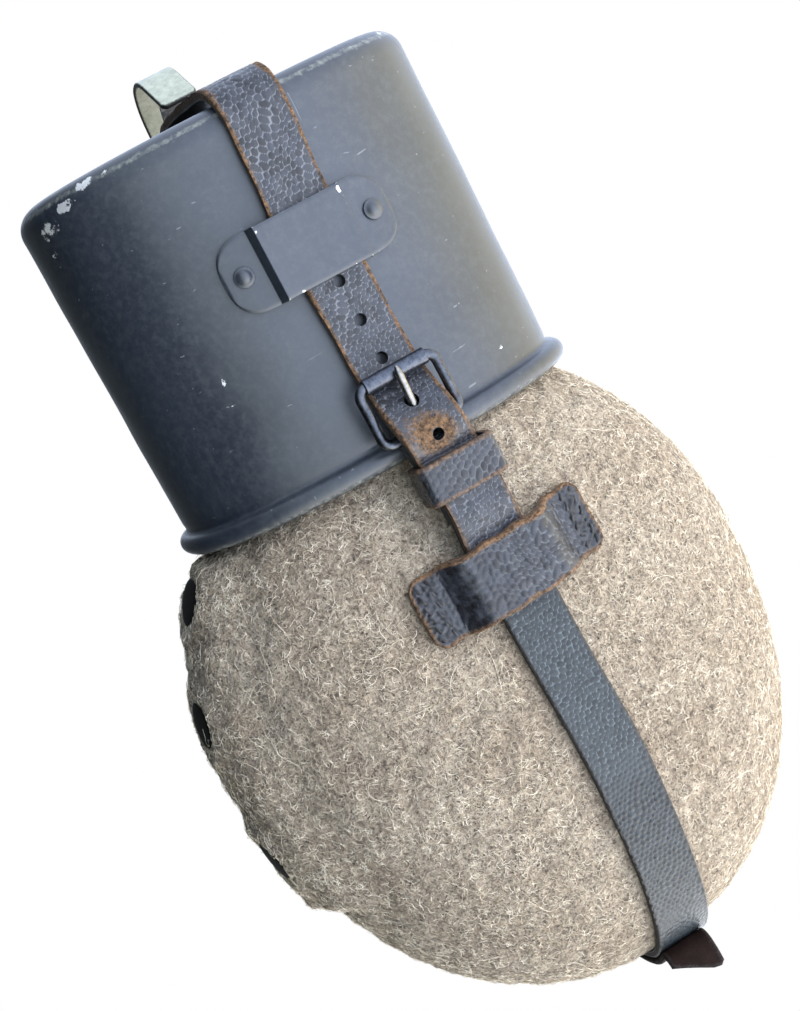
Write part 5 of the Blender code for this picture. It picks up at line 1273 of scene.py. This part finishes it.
def make_chape():
    line = [(CHAPE_INNER_Y, z) for z in (170.0, 182.0, 194.0, 204.0, CHAPE_BAR_Z)]
    arc = [math.pi * i / 12 for i in range(1, 12)]
    line += [(CHAPE_BAR_Y - CHAPE_WRAP * math.cos(t), CHAPE_BAR_Z + CHAPE_WRAP * math.sin(t)) for t in arc]
    line += [(CHAPE_BAR_Y + CHAPE_WRAP, CHAPE_BAR_Z), (CHAPE_OUTER_Y + 1.6, 207.0)]
    line += [(CHAPE_OUTER_Y, z) for z in (202.5, 194.0, 182.0, 170.0)]
    line = resampled(line, 0.5)
    half = STRAP_HALF - 0.5
    outer, inner, ways, across, run = strip(line, half, CHAPE_PLY, np.full(len(line), REAR_X), 37)
    rim = border_of(across, run, half)
    pressed, grain, tone = grained(outer, ways, across, run, half, 1.9, 51.0, 0.18)
    outer = softened(pressed, ways, rim)
    fields = strap_fields(rim, grain, tone, 0 * rim, 0.3 + 0 * rim, 0.5 + 0 * rim, 0.6 + 0 * rim)
    points, faces, values = slab(outer, inner, walls=4, fields=fields)
    look = LOOKS["strap"]
    made = piece("hook_leather", points, faces, look, ["hook_chape"], "flask", values, "strap_leather", 55)
    slot = box_mesh((REAR_X, CHAPE_BAR_Y + 5.4, CHAPE_BAR_Z), (2 * HOOK_HALF + 1.2, 14.0, 17.0))
    cut_holes(made, [slot] + [peg((REAR_X, 44.0, z), (0, 1, 0), 1.5, 14.0) for z in (176.5, 198.0)])


make_tongue()
make_buckle_strap()
make_slider()
TONGUE_POINTS = tongue_line()


def over_tongue(z):
    heights = np.linspace(z.min(), z.max(), 60)
    ys = np.array([-front_y_on(TONGUE_POINTS, h)[0] for h in heights])
    return np.interp(z, heights, ys) + TONGUE_PLY / 2 + 2 * GAP


def over_rear(z):
    return depth_at(np.full_like(z, REAR_X), z, REAR_DEPTH) + BUCKLE_PLY + 3 * GAP + 0.4


make_keeper("front_band", "front_keeper", FRONT_KEEPER_Z, False, over_tongue, 24.8, math.radians(2.5), 61.0)
make_keeper("rear_band", "rear_keeper", REAR_KEEPER_Z, True, over_rear, 24.0, 0.0, 71.0)
make_tab()
make_chape()


# ---------------------------------------------------------------- buckle and hook


def make_buckle():
    middle = float(strap_x(ROLLER_Z))
    half, corner, tall = 10.4, 2.4, ROLLER_Z - HEEL_Z
    spots = []
    for start, sx, sz in ((0, 1, 1), (90, -1, 1), (180, -1, -1), (270, 1, -1)):
        for turn in np.radians(start + np.linspace(0, 90, 12)):
            rise = (tall if sz > 0 else 0) - sz * corner + corner * math.sin(turn)
            y = -BAR_Y + (BAR_Y - ROLLER_Y) * rise / tall
            spots.append((middle + sx * (half - corner) + corner * math.cos(turn), y, HEEL_Z + rise))
    spots.append(spots[0])
    line = resampled(np.array(spots), 0.5, smooth=False)[:-1]
    points, faces = wire(line, BAR_RADIUS, 24)
    points = points + 0.03 * ripple(points, 3.0, 81)[:, None]
    piece("buckle_wire", points, faces, LOOKS["steel"], ["buckle_frame"], "buckle", slot="buckle_steel")
    r = ROLLER_RADIUS
    profile = [(-8.4, BAR_RADIUS + GAP), (-8.4, r - 0.15), (-8.25, r)]
    profile += [(x, r - 0.04 * math.cos(x * 1.1)) for x in np.linspace(-7.9, 7.9, 30)]
    profile += [(8.25, r), (8.4, r - 0.15), (8.4, BAR_RADIUS + GAP)]
    points, faces = tube(profile, (middle, -ROLLER_Y, ROLLER_Z), 40)
    piece("roller_tube", points, faces, LOOKS["steel"], ["buckle_roller"], "roller", slot="buckle_steel")
    eye_in, eye_out = BAR_RADIUS + GAP, BAR_RADIUS + GAP + 1.1
    half_eye = ((1.3, eye_out), (1.5, eye_out - 0.2), (1.5, eye_in))
    profile = [(-x, r) for x, r in reversed(half_eye)] + list(half_eye)
    eye = tube(profile, (middle, -BAR_Y, HEEL_Z), 40)
    root, tip = prong_ends()
    reach = np.linalg.norm(tip - root)
    t = np.linspace(0, 1, 50)
    r = PRONG_RADIUS * keyed(((1, 0.22), (0.97, 0.5), (0.86, 0.98), (0.72, 1.0), (0, 1.0)), t)
    profile = [(0, 0), *[(float(a), float(b * reach)) for a, b in zip(r, t)], (0, reach)]
    shaft = turned(profile, root, tip - root, 32)
    points, faces = joined([eye, shaft])
    piece("prong_pin", points, faces, LOOKS["prong"], ["buckle_prong"], "prong", slot="buckle_steel")


def make_hook():
    line = resampled(np.array(HOOK_LINE), 0.35)
    length = length_along(line)
    rounded = np.sqrt(np.clip((length[-1] - length) / 1.6, 0, 1))
    half = np.minimum(HOOK_HALF, HOOK_HALF - 1.4 + 1.4 * rounded)
    outer, inner, ways, across, run = strip(line, half, HOOK_PLY, np.full(len(line), REAR_X), 33)
    rim = np.minimum(half[:, None] - np.abs(across), run[-1] - run)
    outer, inner = softened(outer, ways, rim, 0.4), softened(inner, -ways, rim, 0.4)
    legs = step((246 - line[:, 1]) / 8)[:, None] * (line[:, 0] > 44)[:, None] + 0 * across
    rim = np.minimum(rim, 5)
    # Rim below 0 on the cut edges gives them the painted edge shade.
    fields = {"rim": (rim, rim, -0.6), "wear": (0.15 * legs, 0.3 + 0.5 * legs, 0.0)}
    points, faces, values = slab(outer, inner, walls=3, fields=fields)
    made = piece("hook_strip", points, faces, LOOKS["hook"], ["belt_hook"], "hook", values, "hook_paint", 60)
    pin_hole = turned(((0, -8), (1.2, -8), (1.2, 8), (0, 8)), (REAR_X, *GATE_PIVOT), (1, 0, 0), 24)
    cut_holes(made, [pin_hole])
    profile = ((0, -8.4), (1.2, -8.4), (1.4, -8.2), (1.4, 8.2), (1.2, 8.4), (0, 8.4))
    bar = turned(profile, (REAR_X, CHAPE_BAR_Y, CHAPE_BAR_Z), (1, 0, 0), 32)
    piece("hook_bar", *bar, LOOKS["wire"], (), "hook", slot="hook_paint")
    middle = np.array((CHAPE_BAR_Y, CHAPE_BAR_Z))
    neck = resampled(np.array((middle - (0.2, 0.3), middle + (1.2, 1.4), (47.9, 216.8))), 0.5)
    outer, inner, *_ = strip(neck, HOOK_HALF - 0.1, 1.3, np.full(len(neck), REAR_X), 13)
    # A rim of 0.3 all over paints most of the neck in that near-black shade.
    points, faces, values = slab(outer, inner, fields={"rim": (0.3, 0.3, 0.0), "wear": (0.2, 0.2, 0.0)})
    piece("hook_neck", points, faces, LOOKS["hook"], (), "hook", values, "hook_paint")


make_buckle()
make_hook()

CAD_LOOKS = {
    "flask_shell": "aluminium", "screw_stopper": "bakelite", "stopper_seal": "rubber",
    "snap_stud_1": "brass", "snap_stud_2": "brass", "snap_stud_3": "brass",
    "cup_handle_left": "wire", "cup_handle_right": "wire",
    "handle_clip_left": "wire", "handle_clip_right": "wire", "handle_rivet_left_low": "steel",
    "handle_rivet_left_high": "steel", "handle_rivet_right_low": "steel", "handle_rivet_right_high": "steel",
    "chape_rivet_1": "steel", "chape_rivet_2": "steel", "hook_gate": "wire", "gate_pin": "wire",
}  # fmt: skip
for name, look in CAD_LOOKS.items():
    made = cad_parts[name]
    for index in range(len(made.material_slots)):
        made.material_slots[index].link = "OBJECT"
        made.material_slots[index].material = LOOKS[look]


# ---------------------------------------------------------------- camera, light and floor


def metres(spot):
    return Vector((np.asarray(spot, dtype=float) - ORIGIN) * 0.001)


def make_camera():
    turn, rise, roll = math.radians(-13.104), math.radians(8.927), math.radians(27.844)
    back = np.array((math.sin(turn) * math.cos(rise), -math.cos(turn) * math.cos(rise), math.sin(rise)))
    level = np.array((math.cos(turn), math.sin(turn), 0.0))
    upright = np.cross(back, level)
    place = level * -0.955 + np.array((0, 0, 134.819)) + back * 506.309
    up = math.cos(roll) * upright + math.sin(roll) * level
    right = math.cos(roll) * level - math.sin(roll) * upright
    data = bpy.data.cameras.new("camera")
    data.sensor_fit, data.sensor_height, data.lens = "VERTICAL", 36.0, 69.79
    data.clip_start, data.clip_end = 0.02, 50.0
    made = bpy.data.objects.new("camera", data)
    bpy.context.scene.collection.objects.link(made)
    made.matrix_world = Matrix.Translation(metres(place)) @ Matrix([right, up, back]).transposed().to_4x4()
    bpy.context.scene.camera = made


def soft_light(name, azimuth, elevation, power, size, colour, far=0.9):
    """An area light round the object: azimuth 0 is in front, and 90 on the right seen from there."""
    data = bpy.data.lights.new(name, "AREA")
    data.shape, data.size, data.energy, data.color = "DISK", size, power, colour
    made = bpy.data.objects.new(name, data)
    bpy.context.scene.collection.objects.link(made)
    a, e = math.radians(azimuth), math.radians(elevation)
    way = Vector((math.sin(a) * math.cos(e), -math.cos(a) * math.cos(e), math.sin(e)))
    made.location = metres((0, 0, 125)) + way * far
    made.rotation_euler = way.to_track_quat("Z", "Y").to_euler()
    made.visible_glossy = False


# The sky's colours from the far left to the far right, and its tint from straight down to straight up
SIDE_LIGHT = (
    (0.0, (0.02, 0.024, 0.02)), (0.11, (0.08, 0.085, 0.085)), (0.32, (1.1, 1.27, 1.36)),
    (0.6, (2.05, 2.4, 3.1)), (0.84, (1.8, 2.05, 2.6)), (1.0, (2.3, 2.15, 1.5)),
)  # fmt: skip
TALL_LIGHT = (
    (0.0, (2.5, 2.15, 1.7)), (0.36, (1.28, 1.24, 1.18)), (0.6, (0.95, 0.95, 0.95)), (1.0, (0.7, 0.7, 0.7))
)  # fmt: skip


def make_world():
    """Bright in front and on the right, dark on the left and behind it; the camera sees plain white."""
    world = bpy.data.worlds.new("studio")
    bpy.context.scene.world = world
    world.use_nodes = True
    tree = world.node_tree
    tree.nodes.clear()
    way = node(tree, "SeparateXYZ", {0: node(tree, "TexCoord").outputs["Generated"]})
    across = calc(tree, "ADD", calc(tree, "MULTIPLY", way.outputs[0], 0.5), 0.5)
    sides = ramp(tree, across, *SIDE_LIGHT)
    front = ramp(tree, calc(tree, "MULTIPLY", way.outputs[1], -1.0), (0.0, 0.85), (0.6, 1.0), (1.0, 1.0))
    tall = ramp(tree, calc(tree, "ADD", calc(tree, "MULTIPLY", way.outputs[2], 0.5), 0.5), *TALL_LIGHT)
    beside = calc(tree, "SUBTRACT", calc(tree, "MULTIPLY", way.outputs[0], 2.5), way.outputs[1])
    beside = ramp(tree, calc(tree, "ADD", beside, 1.6), (0.0, 0.1), (0.35, 0.25), (0.8, 1.0))
    front = calc(tree, "MULTIPLY", front, beside)
    colour = vector(tree, "MULTIPLY", vector(tree, "MULTIPLY", sides, front), tall)
    lit = node(tree, "Background", {"Color": colour, "Strength": 1.0})
    plain = node(tree, "Background", {"Color": (1, 1, 1, 1), "Strength": 1.0})
    seen = node(tree, "LightPath").outputs["Is Camera Ray"]
    both = node(tree, "MixShader", {0: seen, 1: lit.outputs[0], 2: plain.outputs[0]})
    node(tree, "OutputWorld", {"Surface": both.outputs[0]})


def make_floor():
    mesh = bpy.data.meshes.new("floor")
    size, low = 3.0, (-60.0 - ORIGIN[2]) * 0.001
    corners = [(-size, -size, low), (size, -size, low), (size, size, low), (-size, size, low)]
    mesh.from_pydata(corners, [], [(0, 1, 2, 3)])
    made = bpy.data.objects.new("floor", mesh)
    bpy.context.scene.collection.objects.link(made)
    look = bpy.data.materials.new("floor")
    look.use_nodes = True
    tree = look.node_tree
    tree.nodes.clear()
    glow = node(tree, "Emission", {"Color": (1, 1, 1, 1), "Strength": 1.0})
    node(tree, "OutputMaterial", {"Surface": glow.outputs[0]})
    mesh.materials.append(look)
    made.visible_diffuse = made.visible_glossy = made.visible_shadow = False


make_camera()
make_world()
make_floor()
soft_light("key", 40, 25, 7.0, 0.7, (1.0, 0.93, 0.84))
soft_light("fill", 70, -40, 6.0, 0.7, (1.0, 0.94, 0.84))
bpy.context.scene.view_settings.view_transform = "Standard"
bpy.context.scene.view_settings.look = "None"

bpy.context.view_layer.update()
